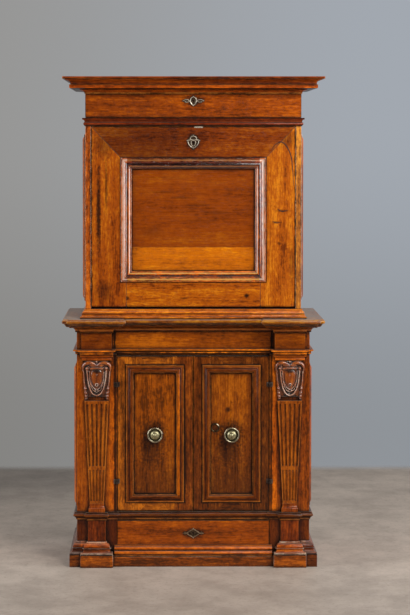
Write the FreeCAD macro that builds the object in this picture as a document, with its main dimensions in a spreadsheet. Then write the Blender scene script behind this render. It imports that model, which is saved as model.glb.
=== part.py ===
import FreeCAD, Part
import math
import os
import Sketcher
from types import SimpleNamespace

# Two-part walnut cabinet: a fall-front upper case on a cupboard with pilasters.
# Z runs up from the floor, the front looks along -Y, and X = 0 is the centre line.

sizes = {
    # Heights of the courses, from the floor up
    "plinthHeight": 45,
    "baseMouldHeight": 39,
    "dieHeight": 73,
    "surbaseHeight": 25.5,
    "cupboardHeight": 534,
    "architraveHeight": 16,
    "friezeHeight": 58.5,
    "bedMouldHeight": 29,
    "ledgeThickness": 17.5,
    "upperBaseHeight": 32,
    "fallOpeningHeight": 614,
    "midMouldHeight": 27.5,
    "drawerCourseHeight": 80,
    "corniceHeight": 56,
    # Widths and depths of the two cases
    "lowerCaseWidth": 784,
    "upperCaseWidth": 724,
    "lowerCaseDepth": 366,
    "upperCaseDepth": 371,
    "corniceProjection": 73,
    # Piers of the lower case, and how far each plane stands before its front stiles
    "stileWidth": 134,
    "pierWidth": 102,
    "dieWidth": 60,
    "pierProjection": 17,
    "dieProjection": 14,
    "centreRecess": 21,
    "doorRecess": 4,
    # Projections and small parts of the mouldings
    "plinthProjection": 25,
    "architraveProjection": 12,
    "ledgeProjection": 48,
    "surbaseProjection": 12,
    "upperBaseProjection": 18,
    "midMouldProjection": 10,
    "fillet": 3,
    "quirk": 2,
    # Boards
    "boardThickness": 22,
    "upperSideThickness": 19,
    "frontThickness": 20,
    "backThickness": 10,
    "topThickness": 18,
    "shelfThickness": 18,
    "floorDrop": 28.5,
    "backBoardGap": 0.4,
    "bandHeight": 34,
    "bandThickness": 20,
    # Running gaps between bodies
    "drawerGap": 1.5,
    "faceGap": 0.5,
    "doorGap": 1.2,
    "meetingGap": 2.4,
    "fallGap": 0.8,
    "fallFootGap": 2.3,
    "doorHeadGap": 1.5,
    "doorFootGap": 2,
    "doorHeadStrip": 6,
    # Side frames
    "sideMouldWidth": 30,
    "sideMouldProjection": 13,
    "upperSideMargin": 55,
    "upperSideInset": 48,
    "lowerSideMargin": 36,
    "lowerSideInset": 45,
    "lowerSideFoot": 12.5,
    # Fall front
    "fallThickness": 24,
    "fallStileWidth": 117,
    "fallTopRail": 123,
    "fallBottomRail": 107,
    "fallMouldWidth": 36,
    "fallMouldProjection": 12,
    "fallPanelThickness": 18,
    "fallBoardJoint": 98,
    "pivotRadius": 4,
    "pivotLength": 40,
    "pivotEngagement": 12,
    "pivotClearance": 0.05,
    # Nest of compartments
    "nestSetback": 20,
    "nestBoard": 10,
    "nestCentreWidth": 220,
    "nestCentreHeight": 310,
    # Drawers
    "drawerSide": 12,
    "drawerBottom": 8,
    "drawerBottomRise": 6,
    "drawerBackGap": 8,
    "drawerSideGap": 2,
    "friezeBoxDrop": 10,
    "plinthFrontFoot": 36,
    "plinthBoxFoot": 48,
    "plinthBoxDrop": 8,
    "plinthBoxInset": 8,
    "plinthMouldHeight": 34,
    "plinthMouldProjection": 21,
    "plinthMouldOverhang": 9,
    "runnerWidth": 20,
    "guideHeight": 22,
    # Doors
    "doorThickness": 22,
    "doorStileWidth": 56,
    "doorMouldInset": 30,
    "doorMouldWidth": 27,
    "doorMouldProjection": 10,
    "doorPanelThickness": 9,
    "doorPanelSetback": 6,
    "panelTongue": 7,
    "panelFit": 0.2,
    "knobHeight": 446,
    "knobRadius": 26,
    "knobProjection": 45,
    # Pilasters
    "capHeight": 20,
    "capProjection": 16,
    "cartoucheHeight": 137,
    "cartoucheWidth": 94,
    "cartouchePlate": 9,
    "shaftTopWidth": 82,
    "shaftFootWidth": 47,
    "shaftThickness": 12,
    "footHeight": 30.5,
    "footFlare": 4,
    "fluteRadius": 4.4,
    "fluteMargin": 9,
    "stopLine": 119,
    "stopBand": 6,
    "cableDepth": 2.2,
    # Iron and brass
    "hingePinRadius": 1.9,
    "hingePinClearance": 0.05,
    "hingeEyeRadius": 4,
    "hingeKnuckle": 7.5,
    "hingeLength": 15,
    "hingePlate": 1.4,
    "hingeLeafWidth": 10,
    "hingeUpperRise": 431,
    "hingeLowerRise": 103,
    "plateThickness": 1.6,
    "keyholeRadius": 3.4,
    "lockDepth": 9,
    "lockHeight": 52,
    "lockWidth": 84,
}
backBoardCount = 4
fluteCount = 5


# A length with its value and with the formula that binds it to the sheet.
class Size:
    def __init__(self, text, value):
        self.text = text
        self.value = value

    def __add__(self, other):
        other = asSize(other)
        return Size("(%s + %s)" % (self.text, other.text), self.value + other.value)

    def __sub__(self, other):
        other = asSize(other)
        return Size("(%s - %s)" % (self.text, other.text), self.value - other.value)

    def __mul__(self, other):
        other = asSize(other)
        return Size("(%s * %s)" % (self.text, other.text), self.value * other.value)

    def __truediv__(self, other):
        other = asSize(other)
        return Size("(%s / %s)" % (self.text, other.text), self.value / other.value)

    def __neg__(self):
        return Size("(-1 * %s)" % self.text, -self.value)

    __rmul__ = __mul__


def asSize(value):
    if isinstance(value, Size):
        return value
    return Size("(%.12g)" % value, float(value))


def arcTangent(slope):
    return Size("atan(%s)" % slope.text, math.degrees(math.atan(slope.value)))


doc = FreeCAD.newDocument("walnut_cabinet")
sheet = doc.addObject("Spreadsheet::Sheet", "Sizes")
for row, (alias, value) in enumerate(sizes.items(), start=1):
    sheet.set("A%d" % row, alias)
    sheet.set("B%d" % row, str(value))
    sheet.setAlias("B%d" % row, alias)
doc.recompute()
s = SimpleNamespace(**{alias: Size("Sizes." + alias, value) for alias, value in sizes.items()})

zero = asSize(0)
quarterArc = math.tan(math.radians(90) / 4)
halfArc = 1
nodes = []


def keep(item, name):
    item.Label = name
    nodes.append(item)
    return item


# Levels, from the floor up
plinthTop = s.plinthHeight
baseMouldTop = plinthTop + s.baseMouldHeight
dieTop = baseMouldTop + s.dieHeight
surbaseTop = dieTop + s.surbaseHeight
architraveFoot = surbaseTop + s.cupboardHeight
friezeFoot = architraveFoot + s.architraveHeight
bedMouldFoot = friezeFoot + s.friezeHeight
ledgeFoot = bedMouldFoot + s.bedMouldHeight
ledgeTop = ledgeFoot + s.ledgeThickness
fallOpeningFoot = ledgeTop + s.upperBaseHeight
fallOpeningTop = fallOpeningFoot + s.fallOpeningHeight
drawerCourseFoot = fallOpeningTop + s.midMouldHeight
corniceFoot = drawerCourseFoot + s.drawerCourseHeight
cabinetTop = corniceFoot + s.corniceHeight
floorFoot = surbaseTop - s.floorDrop

# Planes across the depth, with the origin midway between the back and the cornice
backPlane = (s.upperCaseDepth + s.corniceProjection) / 2
upperFace = backPlane - s.upperCaseDepth
stileFace = backPlane - s.lowerCaseDepth
stileBack = stileFace + s.boardThickness
pierFace = stileFace - s.pierProjection
dieFace = stileFace - s.dieProjection
centreFace = stileFace + s.centreRecess
doorFace = stileFace + s.doorRecess
backFront = backPlane - s.backThickness

# Half widths and places across the front
lowerHalf = s.lowerCaseWidth / 2
lowerInside = lowerHalf - s.boardThickness
upperHalf = s.upperCaseWidth / 2
upperInside = upperHalf - s.upperSideThickness
doorway = lowerHalf - s.stileWidth
pilasterPlace = lowerHalf - s.stileWidth / 2
pierInner = pilasterPlace - s.pierWidth / 2
pierOuter = pilasterPlace + s.pierWidth / 2
dieInner = pilasterPlace - s.dieWidth / 2
dieOuter = pilasterPlace + s.dieWidth / 2


# Sketches stand at a point of an origin plane, with their own axes through it.
def sketchAt(body, name, role, at):
    sketch = body.newObject("Sketcher::SketchObject", name)
    plane = next(item for item in body.Origin.OriginFeatures if item.Role == role)
    sketch.AttachmentSupport = [(plane, "")]
    sketch.MapMode = "FlatFace"
    x, y, z = at
    offsets = {"XY_Plane": (x, y, z), "XZ_Plane": (x, z, -y), "YZ_Plane": (y, z, x)}[role]
    for axis, offset in zip("xyz", offsets):
        sketch.setExpression("AttachmentOffset.Base." + axis, offset.text)
    return sketch


# Lines and arcs through the points; a third entry is the bulge of the arc that follows.
def drawThrough(sketch, points, closed):
    spots = [tuple(asSize(value) for value in point[:2]) for point in points]
    bulges = [point[2] if len(point) > 2 else 0 for point in points]
    count = len(spots) if closed else len(spots) - 1
    ends = []
    for index in range(count):
        start = spots[index]
        stop = spots[(index + 1) % len(spots)]
        bulge = bulges[index]
        first = FreeCAD.Vector(start[0].value, start[1].value, 0)
        last = FreeCAD.Vector(stop[0].value, stop[1].value, 0)
        if not bulge:
            geometry = sketch.addGeometry(Part.LineSegment(first, last))
            ends.append((geometry, 1, 2))
            continue
        chord = last - first
        across = FreeCAD.Vector(-chord.y, chord.x, 0)
        riseShare = (1 - bulge ** 2) / (4 * bulge)
        radiusShare = (1 + bulge ** 2) / (4 * abs(bulge))
        centre = (first + last) * 0.5 + across * riseShare
        circle = Part.Circle(centre, FreeCAD.Vector(0, 0, 1), chord.Length * radiusShare)
        angles = [math.atan2(end.y - centre.y, end.x - centre.x) for end in (first, last)]
        if bulge < 0:
            angles.reverse()
        if angles[1] <= angles[0]:
            angles[1] += 2 * math.pi
        geometry = sketch.addGeometry(Part.ArcOfCircle(circle, *angles))
        ends.append((geometry, 1, 2) if bulge > 0 else (geometry, 2, 1))
        # The centre lies on the chord's bisector, so one of its two coordinates sets it.
        if abs(chord.x) > abs(chord.y):
            kind = "DistanceY"
            spot = (start[1] + stop[1]) / 2 + (stop[0] - start[0]) * riseShare
        else:
            kind = "DistanceX"
            spot = (start[0] + stop[0]) / 2 - (stop[1] - start[1]) * riseShare
        rule = sketch.addConstraint(Sketcher.Constraint(kind, -1, 1, geometry, 3, spot.value))
        sketch.setExpression("Constraints[%d]" % rule, spot.text)
    for index in range(count if closed else count - 1):
        here = ends[index]
        after = ends[(index + 1) % count]
        sketch.addConstraint(Sketcher.Constraint("Coincident", here[0], here[2], after[0], after[1]))
    for index, spot in enumerate(spots):
        geometry, position = ends[index][:2] if index < count else (ends[-1][0], ends[-1][2])
        for kind, length in zip(("DistanceX", "DistanceY"), spot):
            rule = sketch.addConstraint(
                Sketcher.Constraint(kind, -1, 1, geometry, position, length.value))
            sketch.setExpression("Constraints[%d]" % rule, length.text)
    return sketch


def newBody(name):
    return doc.addObject("PartDesign::Body", name)


def addPad(body, sketch, length, reverse=False):
    pad = body.newObject("PartDesign::Pad", sketch.Name + "_pad")
    pad.Profile = sketch
    pad.setExpression("Length", length.text)
    pad.Reversed = reverse
    body.Tip = pad
    return pad


# A pocket that must take something away; a wrong direction stops the build.
def addPocket(body, sketch, length, reverse=False):
    doc.recompute()
    before = body.Shape.Volume
    pocket = body.newObject("PartDesign::Pocket", sketch.Name + "_pocket")
    pocket.Profile = sketch
    pocket.setExpression("Length", length.text)
    pocket.Reversed = reverse
    body.Tip = pocket
    doc.recompute()
    if body.Shape.Volume >= before:
        raise RuntimeError(sketch.Name + " cuts nothing")
    return pocket


# An outline in one origin plane, as thick as from low to high along that plane's axis.
def prism(name, role, points, low, high, body=None):
    body = body or newBody(name)
    at = {"XY_Plane": (zero, zero, low), "XZ_Plane": (zero, high, zero), "YZ_Plane": (low, zero, zero)}
    sketch = sketchAt(body, name + "_outline", role, at[role])
    drawThrough(sketch, points, closed=True)
    addPad(body, sketch, high - low)
    return body


# A closed outline from its right half, given from the foot to the top and mirrored to the left.
# A point on the middle line is kept once.
def evenOutline(half):
    bulges = [point[2] if len(point) > 2 else 0 for point in half]
    right = [(point[0], point[1], bulge) for point, bulge in zip(half, bulges)]
    back = reversed([0] + bulges[:-1])
    left = [(-point[0], point[1], bulge) for point, bulge in zip(reversed(half), back)]
    if not half[-1][0].value:
        right[-1] = left.pop(0)
    if not half[0][0].value:
        left.pop()
    return right + left


# A plain board between two X, two Y and two Z planes.
def board(name, acrossX, acrossY, acrossZ):
    box = doc.addObject("Part::Box", name)
    for side, axis, span in zip(("Length", "Width", "Height"), "xyz", (acrossX, acrossY, acrossZ)):
        low, high = (asSize(value) for value in span)
        box.setExpression(side, (high - low).text)
        box.setExpression("Placement.Base." + axis, low.text)
    return box


def mirrored(source, name):
    mirror = doc.addObject("Part::Mirroring", name)
    mirror.Source = source
    mirror.Normal = FreeCAD.Vector(1, 0, 0)
    return mirror


def group(name, items):
    compound = doc.addObject("Part::Compound", name)
    compound.Links = items
    return keep(compound, name)


# The same pieces on the left and on the right, as one group.
def bothSides(name, items):
    return group(name, items + [mirrored(item, item.Name + "_right") for item in items])


def sweep(body, name, path, profile, edges):
    pipe = body.newObject("PartDesign::AdditivePipe", name)
    pipe.Profile = (profile, [""])
    pipe.Spine = (path, ["Edge%d" % (index + 1) for index in range(edges)])
    pipe.Transition = "Right corner"
    pipe.Mode = "Standard"
    body.Tip = pipe
    return pipe


# A moulding with mitred corners along a path that starts towards the front on the left.
# The profile gives how far it projects and how high it rises above its foot.
def courseMoulding(name, path, foot, profile, core=None):
    body = newBody(name)
    if core:
        prism(name + "_core", "XY_Plane", path, core[0], core[1], body)
    line = sketchAt(body, name + "_path", "XY_Plane", (zero, zero, foot))
    drawThrough(line, path, closed=False)
    start = path[0]
    section = sketchAt(body, name + "_profile", "XZ_Plane", (start[0], start[1], foot))
    drawThrough(section, [(-asSize(p[0]), p[1]) + tuple(-b for b in p[2:]) for p in profile], closed=True)
    sweep(body, name + "_run", line, section, len(path) - 1)
    return body


# A raised frame with mitred corners on a front (XZ) or on a left side (YZ).
# The profile gives how far it projects and how far it lies inside the outer edge.
def frameMoulding(name, role, face, middle, halfWidth, foot, top, profile):
    body = newBody(name)
    line = sketchAt(body, name + "_path", role, (zero, zero, zero))
    left = middle - halfWidth
    right = middle + halfWidth
    corners = [(middle, foot), (left, foot), (left, top), (right, top), (right, foot)]
    drawThrough(line, corners, closed=True)
    if role == "XZ_Plane":
        section = sketchAt(body, name + "_profile", "YZ_Plane", (middle, face, foot))
    else:
        section = sketchAt(body, name + "_profile", "XZ_Plane", (face, middle, foot))
    drawThrough(section, [(-asSize(p[0]), p[1]) + tuple(-b for b in p[2:]) for p in profile], closed=True)
    sweep(body, name + "_run", line, section, len(corners))
    return body


# A turned form about a line through a point, along Y (role YZ) or along Z (role XZ).
def turned(body, name, role, at, points):
    sketch = sketchAt(body, name + "_half", role, at)
    drawThrough(sketch, points, closed=True)
    form = body.newObject("PartDesign::Revolution", name)
    form.Profile = sketch
    form.ReferenceAxis = (sketch, ["H_Axis" if role == "YZ_Plane" else "V_Axis"])
    form.Angle = 360
    body.Tip = form
    return form


# The bolection profile of the raised frames: a fillet, a hollow and a round outer bead.
def frameProfile(width, projection):
    return [
        (zero, zero),
        (projection * 0.45, zero),
        (projection * 0.45, width * 0.14, -quarterArc * 0.6),
        (projection * 0.8, width * 0.4),
        (projection * 0.7, width * 0.46, halfArc * 0.5),
        (projection * 0.7, width * 0.84),
        (projection * 0.5, width * 0.84),
        (projection * 0.35, width),
        (zero, width),
    ]


# Lower case: carcass
def makeLowerCarcass():
    side = board("lower_side", (-lowerHalf, -lowerInside), (stileBack, backPlane), (zero, ledgeFoot))
    bothSides("lower_sides", [side])

    moulding = frameMoulding(
        "lower_side_moulding", "YZ_Plane", -lowerHalf,
        (stileFace + backPlane) / 2, (backPlane - stileFace) / 2 - s.lowerSideInset,
        surbaseTop + s.lowerSideFoot, architraveFoot - s.lowerSideMargin,
        frameProfile(s.sideMouldWidth, s.sideMouldProjection))
    bothSides("lower_side_mouldings", [moulding])

    floorPlan = [
        (-lowerInside, stileBack), (-doorway, stileBack), (-doorway, doorFace), (doorway, doorFace),
        (doorway, stileBack), (lowerInside, stileBack), (lowerInside, backFront), (-lowerInside, backFront),
    ]
    keep(prism("cupboard_floor", "XY_Plane", floorPlan, floorFoot, surbaseTop), "cupboard_floor")

    shelfTop = surbaseTop + s.cupboardHeight / 2
    shelf = board(
        "cupboard_shelf", (-lowerInside, lowerInside), (centreFace + s.boardThickness * 2, backFront),
        (shelfTop - s.shelfThickness, shelfTop))
    keep(shelf, "cupboard_shelf")

    backBoards("lower_back_boards", lowerInside, s.bandHeight, ledgeFoot)

    stile = [
        (-lowerHalf, zero), (-doorway, zero), (-doorway, architraveFoot), (-pierInner, architraveFoot),
        (-pierInner, ledgeFoot), (-lowerHalf, ledgeFoot),
    ]
    bothSides("front_stiles", [prism("front_stile", "XZ_Plane", stile, stileFace, stileBack)])

    # The board behind the frieze also closes the strip above the doors.
    head = architraveFoot - s.doorHeadStrip
    centre = [
        (-doorway, head), (doorway, head), (doorway, architraveFoot), (pierInner, architraveFoot),
        (pierInner, ledgeFoot), (-pierInner, ledgeFoot), (-pierInner, architraveFoot),
        (-doorway, architraveFoot),
    ]
    block = board(
        "frieze_block", (-pierOuter, -pierInner), (pierFace, stileFace), (architraveFoot, ledgeFoot))
    friezeBoard = prism("centre_frieze", "XZ_Plane", centre, centreFace, centreFace + s.boardThickness)
    group("lower_frieze_boards", [friezeBoard, block, mirrored(block, "frieze_block_right")])


# Upright boards side by side that close a case at the back.
def backBoards(name, halfWidth, foot, top):
    width = halfWidth * 2 / backBoardCount
    boards = []
    for index in range(backBoardCount):
        left = width * index - halfWidth
        gap = s.backBoardGap / 2
        boards.append(board(
            "%s_%d" % (name, index), (left + gap, left + width - gap), (backFront, backPlane), (foot, top)))
    group(name, boards)


# Paths round the lower case: one breaks round the entablature blocks, one round the pedestals
entablaturePath = [
    (-lowerHalf, backPlane), (-lowerHalf, stileFace), (-pierOuter, stileFace), (-pierOuter, pierFace),
    (-pierInner, pierFace), (-pierInner, centreFace), (pierInner, centreFace), (pierInner, pierFace),
    (pierOuter, pierFace), (pierOuter, stileFace), (lowerHalf, stileFace), (lowerHalf, backPlane),
]
surbasePath = [
    (-lowerHalf, backPlane), (-lowerHalf, stileFace), (-dieOuter, stileFace), (-dieOuter, dieFace),
    (-dieInner, dieFace), (-dieInner, stileFace), (-doorway, stileFace), (-doorway, doorFace),
    (doorway, doorFace), (doorway, stileFace), (dieInner, stileFace), (dieInner, dieFace),
    (dieOuter, dieFace), (dieOuter, stileFace), (lowerHalf, stileFace), (lowerHalf, backPlane),
]
pedestalPath = surbasePath[:6]
upperPath = [
    (-upperHalf, backPlane), (-upperHalf, upperFace), (upperHalf, upperFace), (upperHalf, backPlane),
]


# Lower case: mouldings that break round the piers
def makeLowerMouldings():
    reach = s.architraveProjection
    rise = s.architraveHeight
    architrave = [
        (zero, zero), (reach * 0.4, zero), (reach * 0.4, rise * 0.4, -quarterArc),
        (reach * 0.8, rise * 0.68), (reach, rise * 0.68), (reach, rise), (zero, rise),
    ]
    keep(courseMoulding("architrave", entablaturePath, architraveFoot, architrave), "architrave")

    reach = s.ledgeProjection
    rise = s.bedMouldHeight
    bed = [
        (zero, zero), (reach * 0.1, zero), (reach * 0.1, rise * 0.12, -quarterArc),
        (reach * 0.42, rise * 0.55), (reach * 0.5, rise * 0.55), (reach * 0.5, rise * 0.66, quarterArc),
        (reach * 0.8, rise), (zero, rise),
    ]
    keep(courseMoulding("bed_moulding", entablaturePath, bedMouldFoot, bed), "bed_moulding")

    rise = s.ledgeThickness
    nose = [
        (zero, zero), (reach * 0.84, zero), (reach * 0.84, rise * 0.16), (reach * 0.91, rise * 0.16, halfArc * 0.7),
        (reach * 0.91, rise * 0.86), (reach * 0.87, rise), (zero, rise),
    ]
    ledge = courseMoulding("ledge_top", entablaturePath, ledgeFoot, nose, (ledgeFoot, ledgeTop))
    keep(ledge, "ledge_top")

    reach = s.surbaseProjection
    rise = s.surbaseHeight
    surbase = [
        (zero, zero), (reach * 0.3, zero, -quarterArc), (reach * 0.62, rise * 0.34),
        (reach * 0.62, rise * 0.44), (reach * 0.68, rise * 0.44, halfArc * 0.75), (reach * 0.68, rise * 0.84),
        (reach * 0.6, rise), (zero, rise),
    ]
    keep(courseMoulding("surbase_moulding", surbasePath, dieTop, surbase), "surbase_moulding")

    reach = s.plinthProjection
    rise = s.baseMouldHeight
    base = [
        (zero, zero), (reach * 0.96, zero), (reach * 0.96, rise * 0.1), (reach * 0.84, rise * 0.1, -halfArc * 0.7),
        (reach * 0.72, rise * 0.48), (reach * 0.56, rise * 0.48, quarterArc), (reach * 0.16, rise * 0.86),
        (reach * 0.16, rise), (zero, rise),
    ]
    bothSides("base_mouldings", [courseMoulding("base_moulding", pedestalPath, plinthTop, base)])

    rise = s.plinthHeight
    plinth = [
        (zero, zero), (reach, zero), (reach, rise - s.quirk), (reach - s.quirk, rise), (zero, rise),
    ]
    block = courseMoulding("plinth_block", pedestalPath, zero, plinth)
    blockInner = dieInner - s.plinthProjection
    band = board(
        "centre_band", (-blockInner, blockInner), (stileFace - s.bandThickness, stileFace), (zero, s.bandHeight))
    group("plinth_boards", [block, mirrored(block, "plinth_block_right"), band])

    die = board("pedestal_die", (-dieOuter, -dieInner), (dieFace, stileFace), (zero, surbaseTop))
    bothSides("pedestal_dies", [die])


# Pilasters: cap, cartouche, tapered shaft with flutes, and foot
shaftFoot = surbaseTop + s.footHeight
capFoot = architraveFoot - s.capHeight
cartoucheFoot = capFoot - s.cartoucheHeight
shaftHeight = cartoucheFoot - shaftFoot
shaftFace = stileFace - s.shaftThickness


def pierPath(width, front):
    return [
        (-pilasterPlace - width / 2, stileFace), (-pilasterPlace - width / 2, front),
        (-pilasterPlace + width / 2, front), (-pilasterPlace + width / 2, stileFace),
    ]


def makePilasters():
    rise = s.capHeight
    reach = s.capProjection - s.shaftThickness + s.fillet
    cap = [
        (zero, zero), (reach * 0.3, zero), (reach * 0.3, rise * 0.25, -quarterArc),
        (reach * 0.8, rise * 0.6), (reach, rise * 0.6), (reach, rise), (zero, rise),
    ]
    path = pierPath(s.pierWidth - s.fillet * 2, stileFace - s.capProjection + reach)
    bothSides("pilaster_caps", [courseMoulding("pilaster_cap", path, capFoot, cap, (capFoot, architraveFoot))])

    reach = s.footFlare
    rise = s.footHeight
    foot = [
        (zero, zero), (reach, zero), (reach, rise * 0.36, quarterArc * 0.8), (reach * 0.5, rise * 0.5),
        (reach * 0.5, rise * 0.6, -quarterArc * 0.5), (reach * 0.2, rise * 0.88), (reach * 0.2, rise),
        (zero, rise),
    ]
    path = pierPath(s.shaftFootWidth, shaftFace)
    bothSides("pilaster_feet", [courseMoulding("pilaster_foot", path, surbaseTop, foot, (surbaseTop, shaftFoot))])

    bothSides("pilaster_shafts", [makeShaft()])
    bothSides("pilaster_cartouches", [makeCartouche()])


# How much of a flute's radius the cable in it has
cableShare = 0.6


# The shaft's sides meet in a point far below its foot, and each flute is cut by a form turned
# about a line from that point, repeated round it. Below the stop line the flutes hold cables.
def makeShaft():
    middle = -pilasterPlace
    top = s.shaftTopWidth / 2
    bottom = s.shaftFootWidth / 2
    body = prism("pilaster_shaft", "XZ_Plane", [
        (middle - bottom, shaftFoot), (middle + bottom, shaftFoot), (middle + top, cartoucheFoot),
        (middle - top, cartoucheFoot),
    ], shaftFace, stileFace)
    drop = shaftHeight * s.shaftFootWidth / (s.shaftTopWidth - s.shaftFootWidth)
    spread = arcTangent((top - s.shaftTopWidth / (fluteCount * 2)) / (drop + shaftHeight))

    def fluteForm(low, high, radius, point):
        radius = radius * low / (drop + shaftHeight)
        return [(zero, low), (radius, low + radius * point), (radius, high - radius * point), (zero, high)]

    def repeatFlute(name, kind, form, depth):
        sketch = sketchAt(body, name + "_half", "XZ_Plane", (middle, shaftFace + depth, shaftFoot - drop))
        sketch.setExpression("AttachmentOffset.Rotation.Angle", spread.text)
        drawThrough(sketch, form, closed=True)
        doc.recompute()
        before = body.Shape.Volume
        feature = body.newObject("PartDesign::" + kind, name)
        feature.Profile = sketch
        feature.ReferenceAxis = (sketch, ["V_Axis"])
        feature.Angle = 360
        body.Tip = feature
        pattern = body.newObject("PartDesign::PolarPattern", name + "_row")
        pattern.Originals = [feature]
        pattern.Axis = (sketch, ["N_Axis"])
        pattern.setExpression("Angle", (spread * 2).text)
        pattern.Reversed = True
        pattern.Occurrences = fluteCount
        body.Tip = pattern
        doc.recompute()
        if (body.Shape.Volume < before) != (kind == "Groove"):
            raise RuntimeError(name + " points the wrong way")

    stop = drop + s.stopLine
    upper = fluteForm(stop + s.stopBand, drop + shaftHeight - s.fluteMargin, s.fluteRadius, 1)
    lower = fluteForm(drop + s.fluteMargin, stop - s.stopBand, s.fluteRadius, 0)
    cable = fluteForm(drop + s.fluteMargin + s.quirk, stop - s.stopBand - s.quirk, s.fluteRadius * cableShare, 0)
    repeatFlute("upper_flute", "Groove", upper, zero)
    repeatFlute("lower_flute", "Groove", lower, zero)
    repeatFlute("cable", "Revolution", cable, s.cableDepth)
    return body


# A carved shield on a plate: raised rim, field with a boss, two lobes with a ball between
# them, a beaded bar below, and a tassel on each side.
def makeCartouche():
    body = newBody("pilaster_cartouche")
    middle = -pilasterPlace
    wide = s.cartoucheWidth / 2
    tall = s.cartoucheHeight
    plateFace = stileFace - s.cartouchePlate

    def layer(name, place, face, outline, rise):
        sketch = sketchAt(body, name + "_outline", "XZ_Plane", (middle + place, face, cartoucheFoot))
        drawThrough(sketch, outline, closed=True)
        addPad(body, sketch, rise)

    layer("cartouche_plate", zero, stileFace, evenOutline([
        (wide * 0.84, zero), (wide, tall * 0.5, quarterArc * 0.6), (wide * 0.92, tall * 0.8, -quarterArc * 0.5),
        (wide, tall * 0.93), (wide * 0.96, tall),
    ]), s.cartouchePlate)

    # The rim is a band along a U that opens upwards, with a narrower crest on it.
    bend = wide * 0.66
    bendTop = tall * 0.14 + bend
    rimTop = tall * 0.78

    def rimBand(name, halfBand, rise):
        outer = bend + halfBand
        inner = bend - halfBand
        layer(name, zero, plateFace, [
            (-outer, rimTop), (-outer, bendTop, quarterArc), (zero, bendTop - outer, quarterArc),
            (outer, bendTop), (outer, rimTop), (inner, rimTop), (inner, bendTop, -quarterArc),
            (zero, bendTop - inner, -quarterArc), (-inner, bendTop), (-inner, rimTop),
        ], rise)

    rimBand("cartouche_rim", wide * 0.1, s.cartouchePlate * 0.4)
    rimBand("cartouche_crest", wide * 0.05, s.cartouchePlate * 0.65)

    # Two lobes meet in a dip above the rim, and a tongue fills the field.
    layer("cartouche_lobes", zero, plateFace, evenOutline([
        (wide * 0.5, tall * 0.77, quarterArc * 0.5), (wide * 0.95, tall * 0.82, quarterArc * 0.6),
        (wide * 0.88, tall * 0.96, quarterArc * 0.5), (wide * 0.3, tall * 0.97, quarterArc * 0.3),
        (wide * 0.05, tall * 0.88),
    ]), s.cartouchePlate * 0.5)
    layer("cartouche_tongue", zero, plateFace, evenOutline([
        (wide * 0.1, tall * 0.27, quarterArc * 0.6), (wide * 0.38, tall * 0.44), (wide * 0.38, tall * 0.6),
    ]), s.cartouchePlate * 0.3)

    # A boss is a low drum with a bevelled face, let into the plate.
    def boss(name, across, height, radius, depth):
        at = (middle + across, plateFace, cartoucheFoot + height)
        turned(body, name, "YZ_Plane", at, [
            (s.cartouchePlate / 2, zero), (s.cartouchePlate / 2, radius),
            (-depth * 0.4, radius), (-depth, radius * 0.55), (-depth, zero),
        ])

    boss("cartouche_left_scroll", -bend, rimTop, wide * 0.14, s.cartouchePlate * 0.9)
    boss("cartouche_right_scroll", bend, rimTop, wide * 0.14, s.cartouchePlate * 0.9)
    boss("cartouche_ball", zero, tall * 0.93, wide * 0.1, s.cartouchePlate * 0.9)
    boss("cartouche_centre", zero, tall * 0.42, wide * 0.16, s.cartouchePlate * 0.8)

    barEnd = wide * 0.5
    barNeck = wide * 0.42
    barMiddle = wide * 0.06
    rod = wide * 0.06
    bead = wide * 0.1
    bar = sketchAt(body, "cartouche_bar_half", "XZ_Plane", (middle, plateFace, cartoucheFoot + tall * 0.68))
    drawThrough(bar, [
        (-barEnd, zero), (-barEnd, bead), (-barNeck, bead), (-barNeck, rod), (-barMiddle, rod), (-barMiddle, bead),
        (barMiddle, bead), (barMiddle, rod), (barNeck, rod), (barNeck, bead), (barEnd, bead), (barEnd, zero),
    ], closed=True)
    barForm = body.newObject("PartDesign::Revolution", "cartouche_bar")
    barForm.Profile = bar
    barForm.ReferenceAxis = (bar, ["H_Axis"])
    barForm.Angle = 360
    body.Tip = barForm

    # Each tassel is a drop with two rings and a tail.
    stem = wide * 0.07
    drop = evenOutline([
        (stem * 0.8, tall * 0.2), (stem * 1.8, tall * 0.34, quarterArc * 0.5), (stem * 0.7, tall * 0.5),
        (stem * 1.4, tall * 0.5), (stem * 1.4, tall * 0.54), (stem * 0.7, tall * 0.54),
        (stem * 0.7, tall * 0.58), (stem * 1.4, tall * 0.58), (stem * 1.4, tall * 0.62),
        (stem * 0.7, tall * 0.62), (stem * 0.7, tall * 0.9),
    ])
    layer("cartouche_left_tassel", -wide * 0.82, plateFace, drop, s.cartouchePlate * 0.35)
    layer("cartouche_right_tassel", wide * 0.82, plateFace, drop, s.cartouchePlate * 0.35)
    return body


# Upper case: carcass, mouldings and nest
sideTop = cabinetTop - s.topThickness
deskTop = fallOpeningFoot + s.fallFootGap + s.fallThickness
fallBack = upperFace + s.fallThickness
frontBack = upperFace + s.frontThickness


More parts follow.
